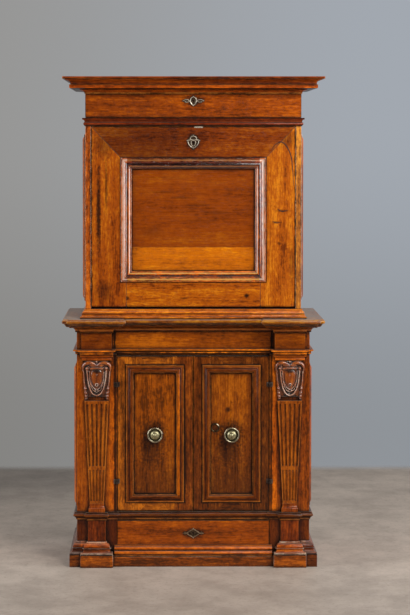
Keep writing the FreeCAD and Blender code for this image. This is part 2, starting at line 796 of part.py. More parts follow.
def makeUpperCase():
    pivotY = upperFace + s.fallThickness / 2
    pivotZ = fallOpeningFoot + s.fallFootGap + s.fallThickness / 2
    side = prism("upper_side", "YZ_Plane", [
        (upperFace, ledgeTop), (backPlane, ledgeTop), (backPlane, sideTop), (upperFace, sideTop),
        (upperFace, corniceFoot), (frontBack + s.faceGap, corniceFoot),
        (frontBack + s.faceGap, drawerCourseFoot), (upperFace, drawerCourseFoot),
    ], -upperHalf, -upperInside)
    bore = sketchAt(side, "pivot_bore", "YZ_Plane", (-upperInside, pivotY, pivotZ))
    boreRadius = s.pivotRadius + s.pivotClearance
    drawThrough(bore, [(-boreRadius, zero, halfArc), (boreRadius, zero, halfArc)], closed=True)
    addPocket(side, bore, s.pivotEngagement + s.faceGap + s.fallGap)
    bothSides("upper_sides", [side])

    moulding = frameMoulding(
        "upper_side_moulding", "YZ_Plane", -upperHalf,
        (upperFace + backPlane) / 2, (backPlane - upperFace) / 2 - s.upperSideInset,
        ledgeTop + s.upperSideMargin, fallOpeningTop - s.upperSideMargin / 2,
        frameProfile(s.sideMouldWidth, s.sideMouldProjection))
    bothSides("upper_side_mouldings", [moulding])

    inside = (-upperInside, upperInside)
    keep(board("upper_base_rail", inside, (upperFace, frontBack), (ledgeTop, fallOpeningFoot)),
         "upper_base_rail")
    keep(board("desk_floor", inside, (fallBack + s.fallGap, backFront), (deskTop - s.boardThickness, deskTop)),
         "desk_floor")
    dividerTop = drawerCourseFoot - s.faceGap
    keep(board("divider_board", inside, (upperFace, backFront), (fallOpeningTop, dividerTop)),
         "divider_board")
    top = board("top_board", (-upperHalf, upperHalf), (upperFace, backPlane), (sideTop, cabinetTop))
    rail = board("top_rail", inside, (upperFace, frontBack), (corniceFoot, sideTop))
    group("upper_top_boards", [top, rail])
    backBoards("upper_back_boards", upperInside, ledgeTop, sideTop)

    nestFront = fallBack + s.nestSetback
    nestX = s.nestCentreWidth / 2
    upright = board(
        "nest_upright", (-nestX - s.nestBoard, -nestX), (nestFront, backFront), (deskTop, fallOpeningTop))
    bothSides("nest_uprights", [upright])
    sideShelves = []
    pitch = (fallOpeningTop - deskTop) / 4
    for index in (1, 2, 3):
        height = deskTop + pitch * index
        sideShelves.append(board(
            "nest_shelf_%d" % index, (-upperInside, -nestX - s.nestBoard), (nestFront, backFront),
            (height - s.nestBoard / 2, height + s.nestBoard / 2)))
    centre = board(
        "nest_centre_shelf", (-nestX, nestX), (nestFront, backFront),
        (deskTop + s.nestCentreHeight, deskTop + s.nestCentreHeight + s.nestBoard))
    right = [mirrored(shelf, shelf.Name + "_right") for shelf in sideShelves]
    group("nest_shelves", sideShelves + right + [centre])


def makeUpperMouldings():
    reach = s.upperBaseProjection
    rise = s.upperBaseHeight
    base = [
        (zero, zero), (reach, zero), (reach, rise * 0.2), (reach * 0.9, rise * 0.2, -halfArc * 0.6),
        (reach * 0.72, rise * 0.5), (reach * 0.6, rise * 0.5, quarterArc), (reach * 0.2, rise * 0.8),
        (reach * 0.2, rise - s.quirk / 2), (zero, rise - s.quirk / 2),
    ]
    keep(courseMoulding("upper_base_moulding", upperPath, ledgeTop, base), "upper_base_moulding")

    reach = s.midMouldProjection
    rise = s.midMouldHeight
    middle = [
        (zero, zero), (reach * 0.3, zero), (reach * 0.3, rise * 0.1), (reach * 0.4, rise * 0.1, halfArc * 0.5),
        (reach * 0.4, rise * 0.44), (reach * 0.25, rise * 0.48), (reach * 0.25, rise * 0.52, -quarterArc * 0.7),
        (reach * 0.7, rise * 0.78), (reach, rise * 0.78), (reach, rise - s.faceGap), (zero, rise - s.faceGap),
    ]
    keep(courseMoulding("mid_moulding", upperPath, fallOpeningTop, middle), "mid_moulding")

    reach = s.corniceProjection
    rise = s.corniceHeight
    cornice = [
        (zero, zero), (s.quirk, zero, -quarterArc), (reach * 0.2, rise * 0.23), (reach * 0.24, rise * 0.23),
        (reach * 0.24, rise * 0.28), (reach * 0.66, rise * 0.31, quarterArc * 0.6), (reach * 0.7, rise * 0.36),
        (reach * 0.7, rise * 0.54), (reach * 0.65, rise * 0.54), (reach * 0.65, rise * 0.58, -quarterArc * 0.8),
        (reach * 0.78, rise * 0.8), (reach * 0.86, rise * 0.8), (reach * 0.9, rise * 0.87),
        (reach, rise * 0.87), (reach, rise), (zero, rise),
    ]
    keep(courseMoulding("cornice", upperPath, corniceFoot, cornice), "cornice")


# Fall front, hung on two pins through the ends of its stiles
def makeFall():
    half = upperInside - s.fallGap
    foot = fallOpeningFoot + s.fallFootGap
    top = fallOpeningTop - s.fallGap * 2
    inner = half - s.fallStileWidth
    panelFoot = foot + s.fallBottomRail
    panelTop = top - s.fallTopRail
    radius = s.fallThickness / 2
    pivotY = upperFace + radius
    pivotZ = foot + radius

    roundFoot = [(upperFace, pivotZ, halfArc), (fallBack, pivotZ)]
    stile = prism("fall_stile", "YZ_Plane", roundFoot + [(fallBack, top), (upperFace, top)], -half, -inner)
    mitre = sketchAt(stile, "stile_mitre", "XZ_Plane", (zero, fallBack, zero))
    drawThrough(mitre, [(-half, top), (-inner, panelTop), (-inner, top)], closed=True)
    addPocket(stile, mitre, s.fallThickness, reverse=True)
    bore = sketchAt(stile, "stile_bore", "YZ_Plane", (-half, pivotY, pivotZ))
    drawThrough(bore, [(-s.pivotRadius, zero, halfArc), (s.pivotRadius, zero, halfArc)], closed=True)
    addPocket(stile, bore, s.pivotLength - s.pivotEngagement, reverse=True)
    bothSides("fall_stiles", [stile])

    bottomRail = prism(
        "fall_bottom_rail", "YZ_Plane", roundFoot + [(fallBack, panelFoot), (upperFace, panelFoot)],
        -inner, inner)
    topRail = prism(
        "fall_top_rail", "XZ_Plane", [(-half, top), (-inner, panelTop), (inner, panelTop), (half, top)],
        upperFace, fallBack)
    group("fall_rails", [bottomRail, topRail])

    joint = panelFoot + s.fallBoardJoint
    panelDepth = (fallBack - s.fallPanelThickness, fallBack)
    lower = board("fall_lower_board", (-inner, inner), panelDepth, (panelFoot, joint))
    upper = board("fall_upper_board", (-inner, inner), panelDepth, (joint, panelTop))
    group("fall_panel_boards", [lower, upper])

    overlap = s.fallMouldWidth / 2
    moulding = frameMoulding(
        "fall_moulding", "XZ_Plane", upperFace, zero, inner + overlap, panelFoot - overlap,
        panelTop + overlap, frameProfile(s.fallMouldWidth, s.fallMouldProjection))
    keep(moulding, "fall_moulding")

    pin = newBody("fall_pivot_pin")
    section = sketchAt(pin, "pin_section", "YZ_Plane", (-half - s.pivotEngagement, pivotY, pivotZ))
    drawThrough(section, [(-s.pivotRadius, zero, halfArc), (s.pivotRadius, zero, halfArc)], closed=True)
    addPad(pin, section, s.pivotLength)
    bothSides("fall_pivot_pins", [pin])

    lockTop = top - s.drawerGap * 2
    lock = board(
        "fall_lock", (-s.lockWidth / 2, s.lockWidth / 2), (fallBack, fallBack + s.lockDepth),
        (lockTop - s.lockHeight * 1.4, lockTop))
    keep(lock, "fall_lock")
    return top


# A drawer's sides, back and bottom behind its front.
def drawerBox(name, half, front, foot, top):
    back = backFront - s.drawerBackGap
    bottom = foot + s.drawerBottomRise
    side = board(name + "_side", (-half, -half + s.drawerSide), (front, back), (foot, top))
    rear = board(
        name + "_rear", (-half + s.drawerSide, half - s.drawerSide), (back - s.drawerSide, back),
        (bottom + s.drawerBottom, top))
    base = board(
        name + "_bottom", (-half + s.drawerSide, half - s.drawerSide), (front, back),
        (bottom, bottom + s.drawerBottom))
    group(name, [side, mirrored(side, name + "_side_right"), rear, base])


def makeFriezeDrawer():
    foot = drawerCourseFoot + s.drawerGap / 2
    top = corniceFoot - s.drawerGap / 2
    front = board("frieze_drawer_front", (-upperHalf, upperHalf), (upperFace, frontBack), (foot, top))
    keep(front, "frieze_drawer_front")
    drawerBox(
        "frieze_drawer_box", upperInside - s.drawerSideGap, frontBack, drawerCourseFoot, top - s.friezeBoxDrop)
    lock = board(
        "frieze_drawer_lock", (-s.lockWidth / 2, s.lockWidth / 2), (frontBack, frontBack + s.lockDepth),
        (top - s.friezeBoxDrop - s.lockHeight, top - s.friezeBoxDrop))
    keep(lock, "frieze_drawer_lock")
    return (foot + top) / 2


def makePlinthDrawer():
    face = stileFace - s.faceGap
    half = doorway - s.drawerGap
    foot = s.plinthFrontFoot
    top = floorFoot - s.drawerGap
    front = board(
        "plinth_drawer_front", (-half, half), (face, face + s.frontThickness), (foot, top))
    keep(front, "plinth_drawer_front")

    reach = s.plinthMouldProjection
    rise = s.plinthMouldHeight
    beads = [
        (zero, zero), (-reach, zero), (-reach, rise * 0.12), (-reach * 0.8, rise * 0.12, -halfArc * 0.7),
        (-reach * 0.8, rise * 0.46), (-reach * 0.55, rise * 0.5), (-reach * 0.6, rise * 0.56, -halfArc * 0.8),
        (-reach * 0.4, rise * 0.86), (-reach * 0.2, rise * 0.88), (-reach * 0.2, rise), (zero, rise),
    ]
    span = half + s.plinthMouldOverhang
    run = newBody("plinth_drawer_moulding")
    section = sketchAt(run, "drawer_beads", "YZ_Plane", (-span, face, foot))
    drawThrough(section, beads, closed=True)
    addPad(run, section, span * 2)
    keep(run, "plinth_drawer_moulding")

    boxFront = face + s.frontThickness
    boxHalf = half - s.plinthBoxInset
    drawerBox("plinth_drawer_box", boxHalf, boxFront, s.plinthBoxFoot, top - s.plinthBoxDrop)
    lock = board(
        "plinth_drawer_lock", (-s.lockWidth / 2, s.lockWidth / 2), (boxFront, boxFront + s.lockDepth),
        (top - s.plinthBoxDrop - s.lockHeight, top - s.plinthBoxDrop))
    keep(lock, "plinth_drawer_lock")

    # Runners under the box's sides, and guides beside them
    runnerTop = s.plinthBoxFoot - s.faceGap
    inner = boxHalf - s.runnerWidth
    outer = boxHalf + s.drawerSideGap
    runner = board(
        "drawer_runner", (-lowerInside, -inner), (stileBack, backFront), (s.bandHeight, runnerTop))
    guide = board(
        "drawer_guide", (-lowerInside, -outer), (stileBack, backFront), (runnerTop, runnerTop + s.guideHeight))
    bothSides("drawer_runners", [runner, guide])
    return foot + rise, top, face


# The keyhole ring's radius in the space between the moulding and the knob
ringShare = 0.334


# The left door; the right one mirrors it and has the lock
def makeDoors():
    outer = doorway - s.doorGap
    inner = s.meetingGap / 2
    foot = surbaseTop + s.doorFootGap
    top = architraveFoot - s.doorHeadStrip - s.doorHeadGap
    back = doorFace + s.doorThickness
    grooveFront = doorFace + s.doorPanelSetback
    grooveBack = grooveFront + s.doorPanelThickness
    width = s.doorStileWidth

    # Stiles and rails are grooved along their inner edges for the panel.
    def groovedSection(outerEdge, innerEdge, sign):
        depth = s.panelTongue + s.panelFit
        floor = innerEdge + depth * sign
        return [
            (outerEdge, doorFace), (innerEdge, doorFace), (innerEdge, grooveFront - s.panelFit / 2),
            (floor, grooveFront - s.panelFit / 2), (floor, grooveBack + s.panelFit / 2),
            (innerEdge, grooveBack + s.panelFit / 2), (innerEdge, back), (outerEdge, back),
        ]

    hanging = prism("door_hanging_stile", "XY_Plane", groovedSection(-outer, -outer + width, -1), foot, top)
    meeting = prism("door_meeting_stile", "XY_Plane", groovedSection(-inner, -inner - width, 1), foot, top)
    railLeft = -outer + width
    railRight = -inner - width

    def railSection(outerEdge, innerEdge, sign):
        return [(point[1], point[0]) for point in groovedSection(outerEdge, innerEdge, sign)]

    bottomRail = prism("door_bottom_rail", "YZ_Plane", railSection(foot, foot + width, -1), railLeft, railRight)
    topRail = prism("door_top_rail", "YZ_Plane", railSection(top, top - width, 1), railLeft, railRight)
    leftFrame = [hanging, meeting, bottomRail, topRail]
    group("left_door_frame", leftFrame)
    group("right_door_frame", [mirrored(item, item.Name + "_right") for item in leftFrame])

    tongue = s.panelTongue
    panel = board(
        "left_door_panel", (railLeft - tongue, railRight + tongue), (grooveFront, grooveBack),
        (foot + width - tongue, top - width + tongue))
    keep(panel, "left_door_panel")
    keep(mirrored(panel, "right_door_panel"), "right_door_panel")

    middle = -(outer + inner) / 2
    inset = s.doorMouldInset
    moulding = frameMoulding(
        "left_door_moulding", "XZ_Plane", doorFace, middle, (outer - inner) / 2 - inset, foot + inset,
        top - inset, frameProfile(s.doorMouldWidth, s.doorMouldProjection))
    keep(moulding, "left_door_moulding")
    keep(mirrored(moulding, "right_door_moulding"), "right_door_moulding")

    knob = newBody("left_door_knob")
    r = s.knobRadius
    reach = s.knobProjection
    turned(knob, "knob_form", "YZ_Plane", (middle, grooveFront, s.knobHeight), [
        (zero, zero), (zero, r * 0.62), (-reach * 0.07, r * 0.62), (-reach * 0.07, r * 0.32),
        (-reach * 0.44, r * 0.32), (-reach * 0.68, r), (-reach * 0.76, r), (-reach * 0.86, r * 0.86),
        (-reach * 0.78, r * 0.62), (-reach * 0.78, r * 0.42), (-reach * 0.94, r * 0.3), (-reach, zero),
    ])
    keep(knob, "left_door_knob")
    keep(mirrored(knob, "right_door_knob"), "right_door_knob")

    makeHinges(foot)

    lockRight = inner + s.lockWidth * 0.62
    box = board(
        "door_lock_box", (inner, lockRight), (back, back + s.lockDepth),
        (s.knobHeight - s.lockHeight / 2, s.knobHeight + s.lockHeight / 2))
    keep(box, "right_door_lock")
    ring = newBody("right_door_keyhole_ring")
    recess = inner + inset + s.doorMouldWidth
    ringRadius = (-middle - r - recess) * ringShare
    ringPlace = recess + s.doorGap + ringRadius
    turned(ring, "ring_form", "YZ_Plane", (ringPlace, grooveFront, s.knobHeight + ringRadius * 4 / 3), [
        (zero, ringRadius * 0.72), (zero, ringRadius), (-s.plateThickness, ringRadius),
        (-s.plateThickness * 2, ringRadius * 0.9), (-s.plateThickness * 2, ringRadius * 0.72),
    ])
    keep(ring, "right_door_keyhole_ring")


# Iron hinges at the outer edges of the doors: a pin in two eyes on the stile, and the
# door's knuckle between them.
def makeHinges(doorFoot):
    axisX = -doorway
    axisY = stileFace - s.hingeEyeRadius - s.hingePlate
    bore = s.hingePinRadius + s.hingePinClearance

    def tube(name, radius, hole, low, high):
        outerForm = cylinder(name + "_outer", radius, low, high)
        if hole is None:
            return outerForm
        cut = doc.addObject("Part::Cut", name)
        cut.Base = outerForm
        cut.Tool = cylinder(name + "_hole", hole, low, high)
        return cut

    def cylinder(name, radius, low, high):
        form = doc.addObject("Part::Cylinder", name)
        form.setExpression("Radius", radius.text)
        form.setExpression("Height", (high - low).text)
        for axis, value in zip("xyz", (axisX, axisY, low)):
            form.setExpression("Placement.Base." + axis, value.text)
        return form

    def fuse(name, items):
        union = doc.addObject("Part::MultiFuse", name)
        union.Shapes = items
        return union

    fixed = []
    moving = []
    for label, rise in (("lower", s.hingeLowerRise), ("upper", s.hingeUpperRise)):
        middle = surbaseTop + rise
        low = middle - s.hingeLength / 2
        high = middle + s.hingeLength / 2
        knuckleLow = middle - s.hingeKnuckle / 2
        knuckleHigh = middle + s.hingeKnuckle / 2
        gap = s.faceGap
        plate = board(
            label + "_stile_plate", (axisX - s.hingeLeafWidth, axisX - s.doorGap / 2),
            (stileFace - s.hingePlate, stileFace), (low, high))
        webs = [
            board(label + "_web_%d" % index, (axisX - s.hingeEyeRadius, axisX - s.doorGap / 2),
                  (axisY, stileFace), span)
            for index, span in enumerate(((low, knuckleLow - gap), (knuckleHigh + gap, high)))
        ]
        eyes = [
            cylinder(label + "_eye_0", s.hingeEyeRadius, low, knuckleLow - gap),
            cylinder(label + "_eye_1", s.hingeEyeRadius, knuckleHigh + gap, high),
        ]
        pin = cylinder(label + "_pin", s.hingePinRadius, low, high)
        fixed.append(fuse(label + "_stile_hinge", [plate] + webs + eyes + [pin]))
        knuckle = fuse(label + "_knuckle_solid", [
            cylinder(label + "_knuckle_round", s.hingeEyeRadius, knuckleLow, knuckleHigh),
            board(label + "_arm", (axisX + s.doorGap, axisX + s.hingeEyeRadius), (axisY, doorFace),
                  (knuckleLow, knuckleHigh)),
            board(label + "_door_plate", (axisX + s.doorGap, axisX + s.hingeLeafWidth),
                  (doorFace - s.hingePlate, doorFace), (low, high)),
        ])
        bored = doc.addObject("Part::Cut", label + "_door_hinge")
        bored.Base = knuckle
        bored.Tool = cylinder(label + "_knuckle_bore", bore, knuckleLow, knuckleHigh)
        moving.append(bored)
    bothSides("hinge_pins", fixed)
    group("left_door_hinges", moving)
    group("right_door_hinges", [mirrored(item, item.Name + "_right") for item in moving])


# Brass plates: an outline symmetrical about its middle, with a keyhole through it
def escutcheon(name, face, height, half):
    body = newBody(name)
    plateBack = face
    sketch = sketchAt(body, name + "_outline", "XZ_Plane", (zero, plateBack, height))
    drawThrough(sketch, evenOutline(half), closed=True)
    addPad(body, sketch, s.plateThickness)
    r = s.keyholeRadius
    hole = sketchAt(body, name + "_keyhole", "XZ_Plane", (zero, plateBack, height))
    drawThrough(hole, [
        (r * 0.5, -r * 2.6), (r * 0.5, zero), (r * 0.5, r * 0.1, halfArc * 2), (-r * 0.5, r * 0.1),
        (-r * 0.5, -r * 2.6, halfArc),
    ], closed=True)
    addPocket(body, hole, s.plateThickness, reverse=True)
    keep(body, name)


makeLowerCarcass()
makeLowerMouldings()
makePilasters()
makeUpperCase()
makeUpperMouldings()
fallTop = makeFall()
friezeMiddle = makeFriezeDrawer()
drawerMouldTop, plinthDrawerTop, drawerFace = makePlinthDrawer()
makeDoors()

r = s.keyholeRadius
escutcheon("frieze_drawer_escutcheon", upperFace, friezeMiddle + r * 4.4, [
    (zero, -r * 5.2), (r * 2, -r * 3.4, quarterArc), (r * 3.6, -r * 1.4, -quarterArc),
    (r * 6, -r * 2.4), (r * 11, r * 0.4, quarterArc), (r * 7, r * 2, -quarterArc),
    (r * 3, r * 2.4, quarterArc), (zero, r * 5.6),
])
escutcheon("fall_escutcheon", upperFace, fallTop - s.fallTopRail / 2 + r * 3.8, [
    (zero, -r * 9), (r * 2, -r * 6.4, quarterArc), (r * 6.4, -r * 1.2, quarterArc),
    (r * 4.4, r * 3.4, -quarterArc), (r * 4.8, r * 6.4), (r * 2.2, r * 5.6, quarterArc * 0.8),
    (zero, r * 7.4),
])
escutcheon("plinth_drawer_escutcheon", drawerFace, (drawerMouldTop + plinthDrawerTop) / 2 - r * 0.6, [
    (zero, -r * 5.6), (r * 1.8, -r * 3.4, -quarterArc), (r * 5.2, -r * 1.2), (r * 7, -r * 2.2, quarterArc),
    (r * 8.4, -r * 0.8), (r * 10.8, zero), (r * 8.4, r * 0.8, quarterArc), (r * 7, r * 2.2),
    (r * 5.2, r * 1.2, -quarterArc), (r * 1.8, r * 3.4), (zero, r * 5.6),
])

doc.recompute()
for item in doc.Objects:
    if "Invalid" in item.State or "Error" in item.State:
        raise RuntimeError("%s is %s" % (item.Name, item.State))
for item in nodes:
    shape = item.Shape
    if shape.isNull() or not shape.isValid() or not shape.Solids:
        raise RuntimeError(item.Label + " has no valid shape")

os.makedirs("parts", exist_ok=True)
for item in nodes:
    item.Shape.exportStep("parts/%s.step" % item.Label)
print(len(nodes), "nodes")
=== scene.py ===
import math

import bmesh
import bpy
from mathutils import Matrix, Vector


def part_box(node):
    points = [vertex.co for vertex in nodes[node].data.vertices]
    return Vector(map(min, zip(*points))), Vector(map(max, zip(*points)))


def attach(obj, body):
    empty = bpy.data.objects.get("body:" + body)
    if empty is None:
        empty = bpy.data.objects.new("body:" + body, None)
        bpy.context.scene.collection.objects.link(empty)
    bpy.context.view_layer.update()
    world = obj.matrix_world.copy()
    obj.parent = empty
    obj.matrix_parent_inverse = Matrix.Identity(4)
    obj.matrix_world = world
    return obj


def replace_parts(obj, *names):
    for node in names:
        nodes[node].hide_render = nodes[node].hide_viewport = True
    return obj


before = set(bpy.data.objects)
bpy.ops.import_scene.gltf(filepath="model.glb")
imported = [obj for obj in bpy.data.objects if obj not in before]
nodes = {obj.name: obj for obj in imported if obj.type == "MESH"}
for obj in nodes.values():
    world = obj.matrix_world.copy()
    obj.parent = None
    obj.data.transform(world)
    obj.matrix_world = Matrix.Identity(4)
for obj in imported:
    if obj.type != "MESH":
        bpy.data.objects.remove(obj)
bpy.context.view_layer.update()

print("frame loaded:", len(nodes), "nodes")


def dye(red, green, blue):
    # sRGB 0-255 to the linear values that a socket wants
    parts = []
    for value in (red, green, blue):
        share = value / 255
        parts.append(share / 12.92 if share <= 0.04045 else ((share + 0.055) / 1.055) ** 2.4)
    return (*parts, 1.0)


def feed(tree, node, feeds):
    # Links each input of the node, or sets its value
    for key, value in feeds.items():
        if isinstance(value, bpy.types.NodeSocket):
            tree.links.new(value, node.inputs[key])
        else:
            node.inputs[key].default_value = value
    return node


def addNode(tree, kind, feeds=None, **settings):
    node = tree.nodes.new(kind)
    for key, value in settings.items():
        setattr(node, key, value)
    return feed(tree, node, feeds or {})


def calc(tree, operation, first, second=None, clamp=False):
    feeds = {0: first} if second is None else {0: first, 1: second}
    return addNode(tree, "ShaderNodeMath", feeds, operation=operation, use_clamp=clamp).outputs[0]


def times(tree, first, second):
    return calc(tree, "MULTIPLY", first, second)


def plus(tree, first, second, clamp=False):
    return calc(tree, "ADD", first, second, clamp)


def minus(tree, first, second, clamp=False):
    return calc(tree, "SUBTRACT", first, second, clamp)


def addShares(tree, start, parts):
    for value, share in parts:
        start = plus(tree, start, times(tree, value, share))
    return start


def vecCalc(tree, operation, first, second=None):
    feeds = {0: first}
    if second is not None:
        feeds[3 if operation == "SCALE" else 1] = second
    node = addNode(tree, "ShaderNodeVectorMath", feeds, operation=operation)
    return node.outputs[1 if operation == "LENGTH" else 0]


def mixColour(tree, factor, first, second, mode="MIX"):
    node = addNode(tree, "ShaderNodeMix", {0: factor, 6: first, 7: second}, data_type="RGBA", blend_type=mode)
    return node.outputs[2]


def mixVector(tree, factor, first, second):
    node = addNode(tree, "ShaderNodeMix", {0: factor, 4: first, 5: second}, data_type="VECTOR")
    return node.outputs[1]


def remap(tree, value, low, high, toLow=0.0, toHigh=1.0):
    feeds = {"Value": value, "From Min": low, "From Max": high, "To Min": toLow, "To Max": toHigh}
    return addNode(tree, "ShaderNodeMapRange", feeds, interpolation_type="SMOOTHSTEP").outputs[0]


def noise(tree, vector, scale, detail, roughness=0.5, distortion=0.0):
    feeds = {"Vector": vector, "Scale": scale, "Detail": detail, "Roughness": roughness,
             "Distortion": distortion}
    return addNode(tree, "ShaderNodeTexNoise", feeds).outputs[0]


def cloud(tree, vector, form):
    # Noise spread between levels; a form is the noise's settings, then the levels
    return remap(tree, noise(tree, vector, *form[0]), *form[1])


def placeOn(tree):
    return addNode(tree, "ShaderNodeTexCoord").outputs["Object"]


def split(tree, vector):
    return addNode(tree, "ShaderNodeSeparateXYZ", {0: vector}).outputs


def join(tree, x, y, z):
    return addNode(tree, "ShaderNodeCombineXYZ", {0: x, 1: y, 2: z}).outputs[0]


def bumpFrom(tree, height, strength, distance):
    feeds = {"Strength": strength, "Distance": distance, "Height": height}
    return addNode(tree, "ShaderNodeBump", feeds).outputs[0]


def mixShaders(tree, factor, first, second):
    return addNode(tree, "ShaderNodeMixShader", {0: factor, 1: first.outputs[0], 2: second.outputs[0]})


def newMaterial(name):
    material = bpy.data.materials.new(name)
    material.use_nodes = True
    return material, material.node_tree, material.node_tree.nodes["Principled BSDF"]


def newGroup(name, inputs, outputs):
    # An input's kind follows from the length of its value
    group = bpy.data.node_groups.new(name, "ShaderNodeTree")
    for label, value in inputs.items():
        kind = {3: "Vector", 4: "Color"}[len(value)] if isinstance(value, tuple) else "Float"
        socket = group.interface.new_socket(name=label, in_out="INPUT", socket_type="NodeSocket" + kind)
        socket.default_value = value
    for label, kind in outputs.items():
        group.interface.new_socket(name=label, in_out="OUTPUT", socket_type="NodeSocket" + kind)
    return group, group.nodes.new("NodeGroupInput").outputs, group.nodes.new("NodeGroupOutput").inputs


def deliver(group, out, results):
    for label, value in results.items():
        group.links.new(value, out[label])
    return group


def useGroup(tree, group, feeds):
    return addNode(tree, "ShaderNodeGroup", feeds, node_tree=group).outputs


def addObject(name, data):
    thing = bpy.data.objects.new(name, data)
    bpy.context.scene.collection.objects.link(thing)
    return thing


def takeMesh(holder):
    # The holder's mesh with its modifiers applied; the holder goes
    bpy.context.view_layer.update()
    mesh = bpy.data.meshes.new_from_object(holder.evaluated_get(bpy.context.evaluated_depsgraph_get()))
    bpy.data.objects.remove(holder)
    return mesh


woodTones = {
    "amber": {"Light": dye(222, 128, 26), "Middle": dye(180, 86, 12), "Dark": dye(112, 46, 10),
              "Deep": dye(44, 18, 9)},
    "russet": {"Light": dye(182, 86, 20), "Middle": dye(136, 56, 11), "Dark": dye(80, 30, 9),
               "Deep": dye(32, 14, 8)},
    "umber": {"Light": dye(150, 76, 24), "Middle": dye(104, 47, 14), "Dark": dye(60, 26, 10),
              "Deep": dye(26, 12, 8)},
    "plain": {"Light": dye(184, 134, 86), "Middle": dye(148, 98, 56), "Dark": dye(106, 65, 34),
              "Deep": dye(58, 33, 20)},
}

# Noise in the walnut: stretch along the grain, then scale, detail, roughness and distortion
figureNoise = {
    "sway": (0.16, 4.5, 3.0, 0.5), "cloud": (0.4, 6.0, 4.0, 0.6, 0.3), "broad": (0.16, 12.0, 4.0, 0.55, 0.4),
    "mottle": (1.0, 30.0, 4.0, 0.7, 0.5), "grit": (0.45, 150.0, 3.0, 0.7), "line": (0.07, 70.0, 3.0, 0.6),
    "short": (0.13, 210.0, 3.0, 0.7), "fibre": (0.022, 430.0, 3.0, 0.6), "vein": (0.07, 17.0, 5.0, 0.65, 0.3),
    "dent": (1.0, 88.0, 3.0, 0.55, 0.6), "speck": (1.0, 190.0, 2.0, 0.5), "pore": (0.045, 900.0, 2.0),
}
toneShares = {"cloud": 0.8, "broad": 0.6, "mottle": 0.6, "grit": 0.7, "line": 0.45, "short": 0.85,
              "ring": -0.2, "fibre": 0.4}
markLevels = {"vein": (0.56, 0.78), "dent": (0.64, 0.74, 0.0, 0.8), "speck": (0.66, 0.74),
              "pore": (0.58, 0.68)}
figureForm = {"depthShare": 0.7, "sweep": 3.0, "middle": 0.52, "seedSteps": (1.7, 3.1, 7.3)}
toneLevels = {"low": (0.12, 0.52), "high": (0.48, 0.9), "pore": 0.3}

# Wear, painted shade in recesses and painted highlights on arrises: levels are from, to and the values there
wear = {"patch": (23.0, 4.0, 0.65), "wideFrom": 0.12, "widePatch": (0.25, 0.65, 0.4, 0.85),
        "tightReach": 0.42, "tight": (0.2, 0.46), "edge": (0.28, 0.62), "edgePatch": (0.38, 0.6, 0.2, 1.0)}
dustForm = {"facing": (0.55, 0.95), "thin": ((16.0, 5.0, 0.65), (0.3, 0.7, 0.5, 1.0))}
spotForm = {"grit": (120.0, 3.0, 0.6), "ragged": 4.0, "soft": (1.0, 0.25)}
seamForm = {"uneven": ((38.0, 4.0, 0.6), (0.3, 0.7, 0.55, 1.5)), "soft": (0.0, 0.75)}


def buildGrainRun():
    # Puts the grain along the third coordinate: up the board, across it, or from front to back
    inputs = {"Along X": 0.0, "Along Y": 0.0, "Seed": 0.0}
    group, into, out = newGroup("grain run", inputs, {"Vector": "Vector"})
    place = placeOn(group)
    x, y, z = split(group, place)
    chosen = mixVector(group, into["Along X"], place, join(group, z, y, x))
    chosen = mixVector(group, into["Along Y"], chosen, join(group, z, x, y))
    shift = join(group, *[times(group, into["Seed"], step) for step in figureForm["seedSteps"]])
    return deliver(group, out, {"Vector": vecCalc(group, "ADD", chosen, shift)})


def pastHalf(group, place, into):
    # How far a point lies past the half sizes round a centre, sideways and in height
    away = vecCalc(group, "ABSOLUTE", vecCalc(group, "SUBTRACT", place, into["Centre"]))
    past = split(group, vecCalc(group, "SUBTRACT", away, into["Half"]))
    return past[0], past[2]


def buildMitreMask():
    # 1 on the rails of a mitred frame, 0 on its stiles
    group, into, out = newGroup("mitre mask", {"Centre": (0, 0, 0), "Half": (0, 0, 0)}, {"Mask": "Float"})
    x, z = pastHalf(group, placeOn(group), into)
    return deliver(group, out, {"Mask": calc(group, "GREATER_THAN", z, x)})


def buildCornerMask():
    # 1 on the parts of a course that run from front to back at the ends, past the mitre
    group, into, out = newGroup("corner mask", {"Half Width": 0.4, "Face": -0.15}, {"Mask": "Float"})
    x, y = split(group, placeOn(group))[:2]
    side = minus(group, calc(group, "ABSOLUTE", x), into["Half Width"])
    return deliver(group, out, {"Mask": calc(group, "GREATER_THAN", side, minus(group, into["Face"], y))})


def buildWalnutFigure():
    inputs = {"Vector": (0, 0, 0), "Rings": 46.0, "Sweep": 2.6, "Streaks": 0.5, "Contrast": 1.0}
    outputs = {label: "Float" for label in ("Tone", "Streak", "Pore", "Fibre")}
    group, into, out = newGroup("walnut figure", inputs, outputs)
    grown = {}
    for name, (stretch, *settings) in figureNoise.items():
        grown[name] = noise(group, vecCalc(group, "MULTIPLY", into["Vector"], (1.0, 1.0, stretch)), *settings)
    x, y = split(group, into["Vector"])[:2]
    across = times(group, plus(group, x, times(group, y, figureForm["depthShare"])), into["Rings"])
    sweep = times(group, into["Sweep"], figureForm["sweep"])
    sway = times(group, minus(group, grown["sway"], 0.5), sweep)
    grown["ring"] = calc(group, "PINGPONG", plus(group, across, sway), 1.0)
    layers = [(minus(group, grown[name], 0.5), share) for name, share in toneShares.items()]
    tone = times(group, addShares(group, 0.0, layers), into["Contrast"])
    marks = {name: remap(group, grown[name], *level) for name, level in markLevels.items()}
    streak = calc(group, "MAXIMUM", calc(group, "MAXIMUM", marks["vein"], marks["dent"]), marks["speck"])
    return deliver(group, out, {"Tone": plus(group, tone, figureForm["middle"], True), "Pore": marks["pore"],
                                "Streak": times(group, streak, into["Streaks"]), "Fibre": grown["fibre"]})


